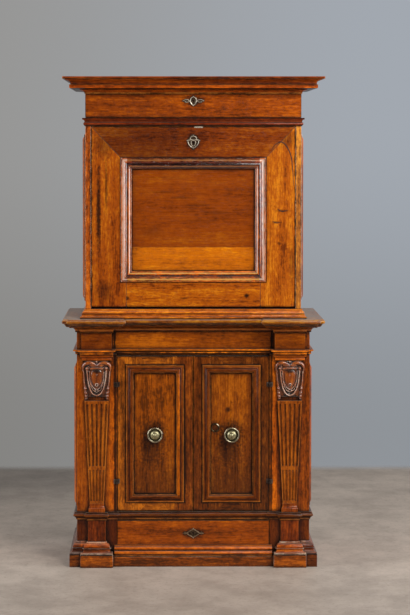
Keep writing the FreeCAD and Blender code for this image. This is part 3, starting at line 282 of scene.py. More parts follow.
def buildWaxedColour():
    inputs = {"Tone": 0.5, "Streak": 0.0, "Pore": 0.0, **woodTones["amber"]}
    group, into, out = newGroup("waxed colour", inputs, {"Color": "Color"})
    low = mixColour(group, remap(group, into["Tone"], *toneLevels["low"]), into["Dark"], into["Middle"])
    high = mixColour(group, remap(group, into["Tone"], *toneLevels["high"]), low, into["Light"])
    veined = mixColour(group, into["Streak"], high, into["Deep"])
    pored = mixColour(group, times(group, into["Pore"], toneLevels["pore"]), veined, into["Deep"])
    return deliver(group, out, {"Color": pored})


def buildWearAndPaintedLight():
    # Corners and grooves hold dark wax and painted shade, and arrises are rubbed light with painted
    # highlights
    inputs = {"Color": (0.5, 0.5, 0.5, 1), "Wax And Shade": dye(18, 9, 6), "Rubbed And Highlight": dye(214, 126, 44),
              "Wax Amount": 0.9, "Rubbed Amount": 0.5, "Reach": 0.03, "Arris": 0.005, "Wax Limit": 0.55}
    group, into, out = newGroup("wear and painted light", inputs, {"Color": "Color", "Recess": "Float"})
    patch = noise(group, placeOn(group), *wear["patch"])

    def shut(distance, low, high, inside=False):
        sky = addNode(group, "ShaderNodeAmbientOcclusion", {"Distance": distance}, samples=6, inside=inside)
        return remap(group, minus(group, 1.0, sky.outputs["AO"]), low, high)

    # Dark wax and painted shade where ambient occlusion finds a recess
    wide = shut(into["Reach"], wear["wideFrom"], into["Wax Limit"])
    wide = times(group, wide, remap(group, patch, *wear["widePatch"]))
    tight = shut(times(group, into["Reach"], wear["tightReach"]), *wear["tight"])
    recess = calc(group, "MAXIMUM", wide, tight)
    # Rubbed wear and painted highlights on the arrises
    edge = times(group, shut(into["Arris"], *wear["edge"], True), remap(group, patch, *wear["edgePatch"]))
    edge = times(group, edge, minus(group, 1.0, recess))
    waxed = mixColour(group, times(group, recess, into["Wax Amount"]), into["Color"], into["Wax And Shade"])
    rubbedAndHighlit = mixColour(group, times(group, edge, into["Rubbed Amount"]), waxed, into["Rubbed And Highlight"])
    return deliver(group, out, {"Color": rubbedAndHighlit, "Recess": recess})


def buildDustFall():
    inputs = {"Color": (0.5, 0.5, 0.5, 1), "Dust": dye(138, 128, 118), "Amount": 0.5}
    group, into, out = newGroup("dust fall", inputs, {"Color": "Color", "Mask": "Float"})
    up = split(group, addNode(group, "ShaderNodeNewGeometry").outputs["Normal"])[2]
    lie = times(group, remap(group, up, *dustForm["facing"]), cloud(group, placeOn(group), dustForm["thin"]))
    lie = times(group, lie, into["Amount"])
    return deliver(group, out, {"Color": mixColour(group, lie, into["Color"], into["Dust"]), "Mask": lie})


def buildSpot():
    # A soft spot in the wood: a knot, a streak, a burn, the grime round a pull, or a painted shadow
    inputs = {"Centre": (0, 0, 0), "Size": (0.01, 0.01, 0.01), "Ragged": 0.25}
    group, into, out = newGroup("spot", inputs, {"Mask": "Float"})
    place = placeOn(group)
    away = vecCalc(group, "DIVIDE", vecCalc(group, "SUBTRACT", place, into["Centre"]), into["Size"])
    grit = minus(group, noise(group, place, *spotForm["grit"]), 0.5)
    ragged = times(group, grit, times(group, into["Ragged"], spotForm["ragged"]))
    reach = plus(group, vecCalc(group, "LENGTH", away), ragged)
    return deliver(group, out, {"Mask": remap(group, reach, *spotForm["soft"])})


def buildRegion():
    # 1 inside a box: one board of a node that has several, one end of a course, or an area of painted light
    #                 or shade
    group, into, out = newGroup("region", {"Low": (-1, -1, -1), "High": (1, 1, 1)}, {"Mask": "Float"})
    place = placeOn(group)
    over = split(group, vecCalc(group, "SUBTRACT", place, into["Low"]))
    under = split(group, vecCalc(group, "SUBTRACT", into["High"], place))
    least = over[0]
    for room in (over[1], over[2], under[0], under[1], under[2]):
        least = calc(group, "MINIMUM", least, room)
    return deliver(group, out, {"Mask": calc(group, "GREATER_THAN", least, 0.0)})


def buildSeam():
    # A line along a rectangle's outline: dark wax and painted shadow in a joint or groove, or a painted
    # highlight along a ridge
    inputs = {"Centre": (0, 0, 0), "Half": (0, 0, 0), "Width": 0.003}
    group, into, out = newGroup("seam", inputs, {"Mask": "Float"})
    place = placeOn(group)
    gap = calc(group, "ABSOLUTE", calc(group, "MAXIMUM", *pastHalf(group, place, into)))
    width = times(group, into["Width"], cloud(group, place, seamForm["uneven"]))
    line = minus(group, 1.0, calc(group, "DIVIDE", gap, width), True)
    return deliver(group, out, {"Mask": remap(group, line, *seamForm["soft"])})


grainRun = buildGrainRun()
mitreMask = buildMitreMask()
cornerMask = buildCornerMask()
walnutFigure = buildWalnutFigure()
waxedColour = buildWaxedColour()
wearAndPaintedLight = buildWearAndPaintedLight()
dustFall = buildDustFall()
spotMask = buildSpot()
regionMask = buildRegion()
seamMask = buildSeam()
print("node groups built")

# Where a course turns its corner: half width and face of the case behind it
corners = {"upper course": (0.362, -0.149), "lower course": (0.392, -0.144)}

# What a wood looks like where its own look says nothing else
usualWood = {
    "tone": "russet", "run": "z", "seed": 0.0, "rings": 40.0, "sweep": 2.4, "streaks": 0.55, "contrast": 1.15,
    "tint": (1, 1, 1), "boards": [], "spots": [], "seams": [], "paintedHighlights": [], "shades": [],
    # Dark colours for spots, seams and recesses: grime and wax with painted shade; the rubbed colour: wear
    # and painted highlights
    "grimeAndShade": dye(24, 11, 7), "seamWaxAndShadow": dye(16, 8, 5), "wax": 0.94, "rubbedAndHighlit": 0.45, "rubAndHighlight": dye(214, 126, 44),
    "reach": 0.03, "wornAndLit": 0.005, "limit": 0.55, "dust": 0.3, "gloss": 0.3, "coat": 0.28, "coatRough": 0.18,
    "specular": 0.13, "relief": 0.55, "deep": 0.0012, "arris": 0.0009,
    "rough": {"recess": 0.3, "dust": 0.5, "fibre": 0.25},
    "height": {"wave": 3.2, "fibre": 0.35, "pore": -0.22}, "waveNoise": (14.0, 2.0), "waveStretch": 0.3,
}


def tintAreas(tree, colour, areas):
    for low, high, tint in areas:
        mask = useGroup(tree, regionMask, {"Low": low, "High": high})[0]
        colour = mixColour(tree, mask, colour, (*tint, 1), "MULTIPLY")
    return colour


def makeWood(name, ownLook):
    look = {**usualWood, **ownLook}
    material, tree, shader = newMaterial(name)
    run = look["run"]
    alongX, alongY = float(run == "x"), float(run == "y")
    if run == "frame":
        cx, cz, hx, hz = look["frame"]
        alongX = useGroup(tree, mitreMask, {"Centre": (cx, 0, cz), "Half": (hx, 9, hz)})[0]
    if run in corners:
        half, face = corners[run]
        alongX, alongY = 1.0, useGroup(tree, cornerMask, {"Half Width": half, "Face": face})[0]
    space = useGroup(tree, grainRun, {"Along X": alongX, "Along Y": alongY, "Seed": look["seed"]})[0]
    figure = useGroup(tree, walnutFigure, {"Vector": space, "Rings": look["rings"], "Sweep": look["sweep"],
                                           "Streaks": look["streaks"], "Contrast": look["contrast"]})
    feeds = {label: figure[label] for label in ("Tone", "Streak", "Pore")}
    colour = useGroup(tree, waxedColour, {**feeds, **woodTones[look["tone"]]})[0]
    colour = mixColour(tree, 1.0, colour, (*look["tint"], 1), "MULTIPLY")
    colour = tintAreas(tree, colour, look["boards"])
    # Dark spots: knots, stains and grime, and painted shadows
    for centre, size, strength in look["spots"]:
        mask = useGroup(tree, spotMask, {"Centre": centre, "Size": size})[0]
        colour = mixColour(tree, times(tree, mask, strength), colour, look["grimeAndShade"])
    # Dark seams of wax and painted shadow, then light lines of painted highlight
    for lines, stain in ((look["seams"], look["seamWaxAndShadow"]), (look["paintedHighlights"], look["rubAndHighlight"])):
        for cx, cz, hx, hz, width, strength in lines:
            mask = useGroup(tree, seamMask, {"Centre": (cx, 0, cz), "Half": (hx, 9, hz), "Width": width})[0]
            colour = mixColour(tree, times(tree, mask, strength), colour, stain)
    # Dark wax with painted shade in recesses, rubbed wear with painted highlights on arrises
    wornAndLit = useGroup(tree, wearAndPaintedLight, {"Color": colour, "Wax Amount": look["wax"], "Rubbed And Highlight": look["rubAndHighlight"],
                                     "Rubbed Amount": look["rubbedAndHighlit"], "Reach": look["reach"],
                                     "Arris": look["wornAndLit"], "Wax Limit": look["limit"]})
    # Shades over the wax: mostly painted light and shade
    colour = tintAreas(tree, wornAndLit["Color"], look["shades"])
    dusty = useGroup(tree, dustFall, {"Color": colour, "Amount": look["dust"]})
    share = look["rough"]
    layers = [(wornAndLit["Recess"], share["recess"]), (dusty["Mask"], share["dust"])]
    rough = addShares(tree, look["gloss"], layers)
    rough = plus(tree, rough, times(tree, minus(tree, figure["Fibre"], 0.5), share["fibre"]), True)
    share = look["height"]
    stretched = vecCalc(tree, "MULTIPLY", space, (1.0, 1.0, look["waveStretch"]))
    wave = noise(tree, stretched, *look["waveNoise"])
    layers = [(wave, share["wave"]), (figure["Fibre"], share["fibre"]), (figure["Pore"], share["pore"])]
    bump = bumpFrom(tree, addShares(tree, 0.0, layers), look["relief"], look["deep"])
    feed(tree, shader, {"Base Color": dusty["Color"], "Roughness": rough, "Coat Weight": look["coat"],
                        "Coat Roughness": look["coatRough"], "Specular IOR Level": look["specular"],
                        "Normal": bump})
    return material


def middleOf(node):
    low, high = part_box(node)
    return [(low[i] + high[i]) / 2 for i in range(3)]


def area(tint, left=-1, right=1, low=0, high=2, back=1):
    # A box whose colour is multiplied by the tint
    return ((left, -1, low), (right, back, high), tint)


def marks(face, *places):
    # Soft dark spots on a face: x, z, width, height and strength of each
    return [((x, face, z), (wide, 0.03, tall), strength) for x, z, wide, tall, strength in places]


def rules(*lines):
    # Level lines: height, width and strength of each
    return [(0, rise - 1, 9, 1, width, strength) for rise, width, strength in lines]


doorRise = middleOf("left_door_panel")[2] - 0.0005
fallRise = middleOf("fall_moulding")[2]
fallCourse = middleOf("fall_rails")[2]
knobRise = middleOf("left_door_knob")[2]
friezeRise = middleOf("frieze_drawer_front")[2]
plinthRise = middleOf("plinth_drawer_front")[2]
boardJoint = 1.0768
fallFace = -0.149
fallSeams = [(0, fallCourse, 0.3424, 0.3051, 0.0048, 0.97), (0, fallRise, 0.2440, 0.2088, 0.0038, 0.8)]
doorSeams = [(0.0, doorRise, 0.2570, 0.2622, 0.0046, 0.95), (0.0, doorRise, 0.0, 9.0, 0.0040, 0.93)]
# Painted shade: the outer ends of the base are darker than its front
blockEnds = [area((0.5, 0.48, 0.56), right=-0.379, low=-1, high=0.14),
             area((0.5, 0.46, 0.6), left=0.379, low=-1, high=0.14)]

# Tone, run of the grain, marks of age and painted light. Boards and shades are tinted areas, under the wax
# and over it, some of them painted light and shade; seams are dark lines of wax and painted shadow, and the
# light lines are painted
# highlights: centre x and z, half sizes, width, strength
woodLooks = {
    "cornice": dict(
        run="upper course", seed=1.0, rings=60.0, tint=(1.0, 0.92, 0.42), rubbedAndHighlit=0.6, contrast=1.4, coat=0.0,
        # Painted shade darkens the top fillet and painted light brightens the underside
        dust=0.85, boards=[area((0.55, 0.45, 0.8), low=1.6395), area((1.5, 1.6, 2.0), low=1.55, high=1.6125)],
        seams=rules((1.6395, 0.003, 0.9), (1.6205, 0.0028, 0.8), (1.6075, 0.003, 0.9), (1.593, 0.004, 0.9))),
    "frieze_drawer_front": dict(
        run="x", seed=2.0, streaks=0.5, tint=(1.16, 1.2, 0.14), contrast=1.05,
        seams=[(0, friezeRise, 0.3625, 0.0394, 0.003, 0.85)],
        spots=marks(fallFace, (0.0, 1.5668, 0.05, 0.026, 0.85), (-0.26, 1.55, 0.3, 0.12, 0.22))),
    "mid_moulding": dict(
        run="upper course", seed=3.0, tint=(0.68, 0.5, 0.3), rubbedAndHighlit=0.05,
        seams=rules((1.509, 0.003, 0.9), (1.4845, 0.0045, 0.9), (1.4965, 0.002, 0.6))),
    "fall_stiles": dict(
        tone="amber", seed=4.3, streaks=0.45, tint=(0.9, 0.92, 0.6), seams=fallSeams,
        boards=[area((0.82, 0.74, 0.7), right=0)],
        spots=marks(fallFace, (-0.318, 1.199, 0.011, 0.2, 0.9), (-0.292, 1.28, 0.007, 0.12, 0.6),
                    (-0.3, 0.93, 0.04, 0.05, 0.5), (-0.3, 1.425, 0.05, 0.07, 0.5),
                    (0.312, 1.44, 0.04, 0.04, 0.45), (0.3, 1.199, 0.032, 0.006, 0.6),
                    (0.278, 1.16, 0.022, 0.005, 0.55), (0.288, 1.09, 0.01, 0.007, 0.6),
                    (0.33, 1.02, 0.012, 0.09, 0.4))),
    "fall_rails": dict(
        tone="amber", run="x", seed=5.1, streaks=0.5, tint=(0.88, 0.88, 0.3), seams=fallSeams,
        boards=[area((0.52, 0.41, 0.7), low=1.2)],
        spots=marks(fallFace, (-0.227, 0.906, 0.016, 0.012, 0.9), (0.18, 0.914, 0.014, 0.009, 0.95),
                    (-0.03, 0.905, 0.02, 0.005, 0.6), (0.0, 1.431, 0.03, 0.034, 0.95),
                    (-0.2, 1.42, 0.34, 0.16, 0.42))),
    "fall_panel_boards": dict(
        tone="amber", run="x", seed=6.4, rings=18.0, sweep=2.6, streaks=0.2, contrast=0.62,
        tint=(1.22, 1.42, 0.22), boards=[area((0.47, 0.34, 0.4), low=boardJoint)],
        spots=marks(-0.145, (-0.10, 1.262, 0.07, 0.006, 0.30), (-0.04, 1.243, 0.06, 0.007, 0.34),
                    (0.02, 1.218, 0.05, 0.008, 0.36), (0.075, 1.192, 0.06, 0.009, 0.36),
                    (0.02, 1.165, 0.09, 0.007, 0.26), (-0.1, 1.31, 0.12, 0.005, 0.18),
                    (0.12, 1.335, 0.08, 0.01, 0.22), (-0.14, 1.13, 0.05, 0.03, 0.22)),
        seams=[(0, fallRise, 0.2072, 0.1722, 0.0045, 0.8), *rules((boardJoint, 0.0016, 0.5))]),
    "fall_moulding": dict(
        run="frame", frame=(0, fallRise, 0.2432, 0.208), seed=7.7, coat=1.0, gloss=0.2, specular=0.7,
        streaks=0.9, contrast=1.7, rubbedAndHighlit=0.95, rubAndHighlight=dye(228, 194, 172), tint=(1.1, 1.2, 0.9),
        # Painted shade on the top member and painted light on the bottom one; the light lines are painted
        # highlights
        boards=[area((0.5, 0.46, 0.5), -0.207, 0.207, low=1.3),
                area((1.5, 1.9, 1.0), -0.207, 0.207, high=1.0)],
        shades=[area((0.5, 0.26, 0.08), -0.222, 0.222, low=1.34),
                area((1.15, 0.85, 0.22), -0.222, 0.222, high=1.0)],
        seams=[(0, fallRise, 0.2222, 0.1872, 0.0036, 0.94)],
        paintedHighlights=[(0, fallRise, 0.2350, 0.2000, 0.0050, 0.6), (0, fallRise, 0.2140, 0.1790, 0.0030, 0.6)]),
    "upper_sides": dict(
        seed=8.2, coat=0.9, tint=(1.5, 1.7, 0.8), contrast=1.5, rubbedAndHighlit=0.95, rubAndHighlight=dye(232, 184, 150),
        # The right front edge is made paler: a painted highlight
        boards=[area((1.05, 1.75, 5.0), left=0.343, back=-0.138)],
        seams=[(0, fallCourse, 0.3424, 0.3051, 0.004, 0.95)]),
    "upper_side_mouldings": dict(
        seed=9.6, coat=1.0, tint=(1.5, 1.7, 1.2), rubbedAndHighlit=0.7, rubAndHighlight=dye(222, 166, 126),
        # The front ends are made paler, the right one most: painted highlights
        shades=[area((1.22, 1.7, 2.6), back=-0.093), area((1.02, 1.7, 2.9), left=0, back=-0.093)]),
    "upper_base_rail": dict(run="x", seed=10.1),
    "upper_base_moulding": dict(
        tone="amber", run="upper course", seed=11.5, tint=(1.2, 1.25, 0.7), contrast=1.3,
        seams=rules((0.8385, 0.003, 0.9), (0.8555, 0.002, 0.6))),
    "upper_top_boards": dict(tone="umber", run="x", seed=12.4, dust=0.6, gloss=0.55, coat=0.0),
    "divider_board": dict(tone="umber", run="x", seed=13.9, coat=0.0, gloss=0.5),
    "ledge_top": dict(
        tone="amber", run="lower course", seed=14.2, dust=1.0, tint=(0.75, 0.9, 1.0), contrast=1.5,
        rubbedAndHighlit=0.9, rubAndHighlight=dye(208, 178, 150), shades=[area((0.84, 0.92, 1.02), low=0.826, high=1)],
        seams=rules((0.8205, 0.002, 0.8))),
    "bed_moulding": dict(
        run="lower course", seed=15.8, tint=(0.86, 1.0, 0.5), contrast=1.3,
        seams=rules((0.8185, 0.008, 0.96), (0.806, 0.0025, 0.7), (0.792, 0.003, 0.85)),
        paintedHighlights=rules((0.7985, 0.003, 0.5))),
    "lower_frieze_boards": dict(
        run="lower course", seed=16.5, tint=(1.12, 1.35, 0.24), contrast=1.0,
        # The ends beside the piers are darkened and a dark line drawn at each pier: painted shadow
        boards=[area((0.56, 0.5, 0.8), right=-0.27), area((0.7, 0.68, 0.8), left=0.27)],
        seams=[(0, 0.77, 0.2655, 9, 0.0065, 0.93), *rules((0.7905, 0.004, 0.9))]),
    "architrave": dict(
        run="lower course", seed=17.3, tint=(3.2, 4.2, 0.8), paintedHighlights=rules((0.7265, 0.0024, 0.35)),
        seams=rules((0.7226, 0.0034, 0.92), (0.7315, 0.0028, 0.7), (0.7168, 0.0034, 0.92))),
    "front_stiles": dict(
        seed=18.8, tint=(1.25, 1.42, 0.42), contrast=1.2, limit=0.36,
        # The dark line round the door openings and the darker foot beside the plinth drawer: painted shadow
        seams=[(0, doorRise, 0.2630, 0.2672, 0.0075, 0.9)],
        boards=[area((0.3, 0.24, 0.4), high=0.1575), area((1.5, 1.5, 0.9), -0.282, 0.282, 0.19, 0.72)]),
    "lower_sides": dict(seed=19.7, tint=(1.3, 1.4, 0.6)),
    "lower_side_mouldings": dict(
        seed=20.3, tint=(1.4, 1.5, 0.8), coat=0.9, rubbedAndHighlit=0.7, rubAndHighlight=dye(216, 156, 112)),
    "pilaster_caps": dict(run="lower course", seed=21.4, tint=(1.2, 1.3, 0.5)),
    "pilaster_feet": dict(seed=22.9, tint=(0.9, 0.95, 0.6)),
    "pilaster_shafts": dict(
        seed=23.6, rubbedAndHighlit=0.7, reach=0.02, limit=0.35, tint=(1.0, 1.28, 0.7), contrast=1.2),
    "surbase_moulding": dict(
        tone="umber", run="lower course", seed=25.5, tint=(0.46, 0.36, 0.18), contrast=1.4,
        seams=rules((0.1815, 0.0035, 0.9), (0.1625, 0.0034, 0.9), (0.157, 0.003, 0.9)),
        paintedHighlights=rules((0.172, 0.003, 0.18))),
    "pedestal_dies": dict(tone="umber", seed=26.2, tint=(1.0, 0.7, 0.25), contrast=1.3),
    "base_mouldings": dict(
        run="lower course", seed=27.8, tint=(1.5, 1.65, 0.8), contrast=1.4, rubbedAndHighlit=0.95,
        rubAndHighlight=dye(218, 190, 164), shades=blockEnds, seams=rules((0.0462, 0.003, 0.8))),
    "plinth_boards": dict(
        tone="umber", run="lower course", seed=28.7, arris=0.0, tint=(1.75, 1.7, 0.6), contrast=1.4,
        rubbedAndHighlit=0.95, rubAndHighlight=dye(218, 190, 164), shades=blockEnds, seams=rules((0.0435, 0.0045, 0.92))),
    "plinth_drawer_front": dict(
        run="x", seed=29.3, tint=(1.2, 1.32, 0.2), contrast=0.95,
        seams=[(0, plinthRise, 0.2572, 0.0586, 0.0036, 0.85)],
        spots=marks(-0.1445, (0.0, 0.1092, 0.045, 0.026, 0.85))),
    "plinth_drawer_moulding": dict(
        run="x", seed=30.6, tint=(1.5, 1.7, 0.8), seams=rules((0.0375, 0.005, 0.92))),
}

# The two doors: half sizes of the frame's and the moulding's mitres, dark lines and painted highlight lines
# round the
# panel, and dark spots: x from the door's middle, z, width, height and strength
doorLines = {
    "middle": 0.129, "frame": (0.0718, 0.2823), "moulding": (0.0968, 0.2313), "face": -0.134,
    "meeting": 0.06,
    "seams": [(0.0990, 0.2335, 0.0042, 0.88), (0.0705, 0.2052, 0.0042, 0.9), (0.0865, 0.2212, 0.0026, 0.8)],
    "paintedHighlights": [(0.0945, 0.2290, 0.0024, 0.15), (0.0762, 0.2108, 0.0022, 0.12)],
    # Round the knob: grime, and the painted shadow that the knob casts below it; low on the panel: painted
    # shade
    "grimeAndShade": [(0, knobRise, 0.058, 0.064, 0.92), (-0.01, knobRise - 0.05, 0.06, 0.09, 0.6),
              (0, 0.235, 0.16, 0.22, 0.55)],
}
doorLooks = {
    "left": dict(side=-1, seeds=(31.2, 32.5, 33.1), frame=(1.95, 2.2, 0.75), meeting=(0.62, 0.52, 0.7),
                 panel=(1.35, 1.75, 0.4), moulding=(0.62, 0.7, 0.36), knots=[],
                 pale=[area((2.4, 2.7, 0.9), -0.0585, -0.0455, 0.24, 0.65)]),
    "right": dict(side=1, seeds=(34.9, 35.4, 36.7), frame=(0.86, 0.9, 0.45), meeting=(1.2, 1.1, 0.9),
                  panel=(0.98, 1.25, 0.45), moulding=(0.5, 0.56, 0.38), pale=[],
                  knots=[(0.118, 0.527, 0.012, 0.012, 0.8), (0.078, 0.468, 0.026, 0.03, 0.7)]),
}
for name, door in doorLooks.items():
    middle = door["side"] * doorLines["middle"]
    seams, paintedHighlights = [[(middle, doorRise, *line) for line in doorLines[kind]] for kind in ("seams", "paintedHighlights")]
    meeting = sorted((0, door["side"] * doorLines["meeting"]))
    grimeAndShade = [(middle + shift, *spot) for shift, *spot in doorLines["grimeAndShade"]]
    woodLooks[name + "_door_frame"] = dict(
        tone="umber", run="frame", frame=(middle, doorRise, *doorLines["frame"]), seed=door["seeds"][0],
        tint=door["frame"], contrast=1.3, seams=doorSeams + seams, boards=[area(door["meeting"], *meeting)])
    woodLooks[name + "_door_panel"] = dict(
        seed=door["seeds"][1], streaks=0.6, contrast=1.1, tint=door["panel"], seams=seams,
        spots=marks(doorLines["face"], *grimeAndShade, *door["knots"]))
    woodLooks[name + "_door_moulding"] = dict(
        run="frame", frame=(middle, doorRise, *doorLines["moulding"]), seed=door["seeds"][2], seams=seams,
        paintedHighlights=paintedHighlights, rubbedAndHighlit=0.7, tint=door["moulding"], boards=door["pale"], coat=0.1)

# Dry, unpolished boards and the run of their grain
plainBoards = {"lower_back_boards": "z", "upper_back_boards": "z", "frieze_drawer_box": "x",
               "plinth_drawer_box": "x", "drawer_runners": "y", "cupboard_shelf": "x", "cupboard_floor": "x",
               "desk_floor": "x", "nest_uprights": "z", "nest_shelves": "x"}
for count, (name, run) in enumerate(plainBoards.items()):
    woodLooks[name] = dict(tone="plain", run=run, seed=40.5 + count, gloss=0.62, coat=0.0, rubbedAndHighlit=0.2,
                           wax=0.5, dust=0.2)


arris = {"weld": 0.00002, "segments": 2, "angle": 38}


def dressBoard(name, look):
    board = nodes[name]
    board.data.materials.clear()
    board.data.materials.append(makeWood(name + "_wood", look))
    weld = board.modifiers.new("close seams", "WELD")
    weld.merge_threshold = arris["weld"]
    bevel = board.modifiers.new("soft arris", "BEVEL")
    bevel.width = look.get("arris", usualWood["arris"])
    bevel.segments = arris["segments"]
    bevel.limit_method = "ANGLE"
    bevel.angle_limit = math.radians(arris["angle"])
    bevel.harden_normals = True
    bevel.use_clamp_overlap = True


for name, look in woodLooks.items():
    dressBoard(name, look)
print("woods dressed:", len(woodLooks))

# Metals: hollows darkened by grime and painted shade, arrises lightened by wear and painted highlights
usualMetal = {"metallic": 1.0, "rough": 0.36, "patinaRough": 0.18, "recessRough": 0.3, "grain": 900.0,
              "grainNoise": (3.0, 0.6), "patchNoise": (4.0, 0.6), "patina": (0.35, 0.7), "ragged": 0.05,
              "relief": 0.5, "depth": 0.0001, "grimeAndShadeShare": 0.95, "rubAndHighlightShare": 0.75, "reach": 0.005}
metalLooks = {
    "brass": dict(
        bright=dye(198, 188, 160), dull=dye(138, 126, 98), grimeAndShade=dye(34, 27, 17), rubAndHighlight=dye(244, 232, 210),
        rough=0.27, patch=90.0, grain=700.0, depth=0.00012, wornAndLit=0.003),
    "silvered brass": dict(
        bright=dye(222, 206, 182), dull=dye(88, 70, 54), grimeAndShade=dye(20, 13, 9), rubAndHighlight=dye(236, 222, 200),
        metallic=0.6, rough=0.3, patch=330.0, wornAndLit=0.002),
    "worn brass": dict(
        bright=dye(150, 122, 92), dull=dye(86, 62, 42), grimeAndShade=dye(18, 11, 7), rubAndHighlight=dye(190, 164, 132),
        metallic=0.6, patch=300.0, reach=0.004, wornAndLit=0.001),
    "dark brass": dict(
        bright=dye(112, 92, 72), dull=dye(48, 34, 25), grimeAndShade=dye(16, 10, 7), rubAndHighlight=dye(196, 172, 144),
        patch=190.0, reach=0.004, wornAndLit=0.0009),
    "tarnished dome": dict(
        bright=dye(186, 178, 140), dull=dye(130, 120, 84), grimeAndShade=dye(30, 24, 14), rubAndHighlight=dye(240, 232, 208),
        metallic=0.9, rough=0.34, patch=150.0, grain=700.0, wornAndLit=0.0012),
    "tarnished ring": dict(
        bright=dye(96, 80, 56), dull=dye(58, 44, 30), grimeAndShade=dye(28, 20, 14), rubAndHighlight=dye(150, 132, 96),
        rough=0.4, patch=120.0, grain=700.0, reach=0.006, wornAndLit=0.001,
        # A painted highlight on the ring's upper right
        paintedHighlight=((0.0835, -0.135, 0.4765), (0.0085, 0.02, 0.0075), dye(236, 220, 184))),
    "iron": dict(
        bright=dye(60, 46, 38), dull=dye(34, 24, 19), grimeAndShade=dye(14, 9, 7), rubAndHighlight=dye(150, 132, 118),
        metallic=0.7, rough=0.4, patch=120.0, grain=420.0, depth=0.0003, reach=0.012, wornAndLit=0.002),
}


def makeMetal(name, ownLook):
    look = {**usualMetal, **ownLook}
    material, tree, shader = newMaterial(name)
    place = placeOn(tree)
    patina = cloud(tree, place, ((look["patch"], *look["patchNoise"]), look["patina"]))
    colour = mixColour(tree, patina, look["bright"], look["dull"])
    # A painted highlight where the look gives one
    if "paintedHighlight" in look:
        centre, size, highlightColour = look["paintedHighlight"]
        mask = useGroup(tree, spotMask, {"Centre": centre, "Size": size, "Ragged": look["ragged"]})[0]
        colour = mixColour(tree, mask, colour, highlightColour)
    wornAndLit = useGroup(tree, wearAndPaintedLight, {"Color": colour, "Wax And Shade": look["grimeAndShade"], "Rubbed And Highlight": look["rubAndHighlight"],
                                     "Wax Amount": look["grimeAndShadeShare"], "Rubbed Amount": look["rubAndHighlightShare"],
                                     "Reach": look["reach"], "Arris": look["wornAndLit"]})
    rough = plus(tree, look["rough"], times(tree, patina, look["patinaRough"]))
    rough = plus(tree, rough, times(tree, wornAndLit["Recess"], look["recessRough"]), True)
    grain = noise(tree, place, look["grain"], *look["grainNoise"])
    bump = bumpFrom(tree, grain, look["relief"], look["depth"])
    feed(tree, shader, {"Base Color": wornAndLit["Color"], "Metallic": look["metallic"], "Roughness": rough,
                        "Normal": bump})
    return material


metals = {name: makeMetal(name, look) for name, look in metalLooks.items()}
for name in ("hinge_pins", "left_door_hinges", "right_door_hinges", "fall_lock", "frieze_drawer_lock",
             "plinth_drawer_lock", "right_door_lock", "fall_pivot_pins"):
    nodes[name].data.materials.clear()
    nodes[name].data.materials.append(metals["iron"])
print("metals dressed")


def flowLine(points, steps=5, closed=False):
    # A smooth line through the points; every value of a point flows with it
    line = []
    count = len(points)
    for i in range(count if closed else count - 1):
        around = [(i + k) % count if closed else min(max(i + k, 0), count - 1) for k in (-1, 0, 1, 2)]
        for step in range(steps):
            s = step / steps
            line.append(tuple(0.5 * (2 * b + (c - a) * s + (2 * a - 5 * b + 4 * c - d) * s * s
                                     + (3 * b - a - 3 * c + d) * s ** 3)
                              for a, b, c, d in zip(*[points[k] for k in around])))
    if not closed:
        line.append(points[-1])
    return line


def carveStroke(build, points, ground, sink=3.0, sides=14):
    # A raised stroke of (x, z, half width, height) in mm, rounded over and standing on the ground
    line = flowLine(points)
    ends = []
    for tip, other in ((line[0], line[1]), (line[-1], line[-2])):
        run = Vector((tip[0] - other[0], tip[1] - other[1])).normalized()
        dome = []
        for angle in (30, 60, 84):
            out, keep = math.sin(math.radians(angle)) * tip[2], math.cos(math.radians(angle))
            dome.append((tip[0] + run.x * out, tip[1] + run.y * out, tip[2] * keep, tip[3] * keep))
        ends.append(dome)
    line = ends[0][::-1] + line + ends[1]
    rings = []
    for i, (x, z, half, height) in enumerate(line):
        back, front = line[max(i - 1, 0)], line[min(i + 1, len(line) - 1)]
        run = Vector((front[0] - back[0], front[1] - back[1])).normalized()
        ring = []
        for k in range(sides):
            angle = 2 * math.pi * k / sides
            rise = math.sin(angle) * (height if math.sin(angle) > 0 else sink)
            side = math.cos(angle) * half
            spot = (x - run.y * side, ground - rise, z + run.x * side)
            ring.append(build.verts.new([value / 1000 for value in spot]))
        rings.append(ring)
    for one, two in zip(rings, rings[1:]):
        for k in range(sides):
            build.faces.new((one[k], one[(k + 1) % sides], two[(k + 1) % sides], two[k]))
    build.faces.new(rings[0][::-1])
    build.faces.new(rings[-1])


def carvePin(build, at, form, shift, ground, sink, sides=10):
    # A round pin head at (x, z), of (radius, height) in mm: a very short stroke
    ends = [(at[0] + way * shift, at[1], *form) for way in (-1, 1)]
    carveStroke(build, ends, ground, sink, sides)


def addSlab(build, outline, near, far):
    # A flat board of the outline's shape between two depths, all in mm
    faces = []
    for depth in (near, far):
        faces.append([build.verts.new((x / 1000, depth / 1000, z / 1000)) for x, z in outline])
    build.faces.new(faces[0])
    build.faces.new(faces[1][::-1])
    for k in range(len(outline)):
        m = (k + 1) % len(outline)
        build.faces.new((faces[0][m], faces[0][k], faces[1][k], faces[1][m]))


def settleMesh(build, name, place):
    bmesh.ops.recalc_face_normals(build, faces=build.faces)
    build.transform(Matrix.Translation(place))
    mesh = bpy.data.meshes.new(name)
    build.to_mesh(mesh)
    build.free()
    return mesh


def addPiece(name, mesh, material, body, sharp=None):
    piece = addObject(name, mesh)
    mesh.materials.clear()
    mesh.materials.append(material)
    mesh.shade_smooth()
    if sharp:
        mesh.set_sharp_from_angle(angle=math.radians(sharp))
    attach(piece, body)
    return piece


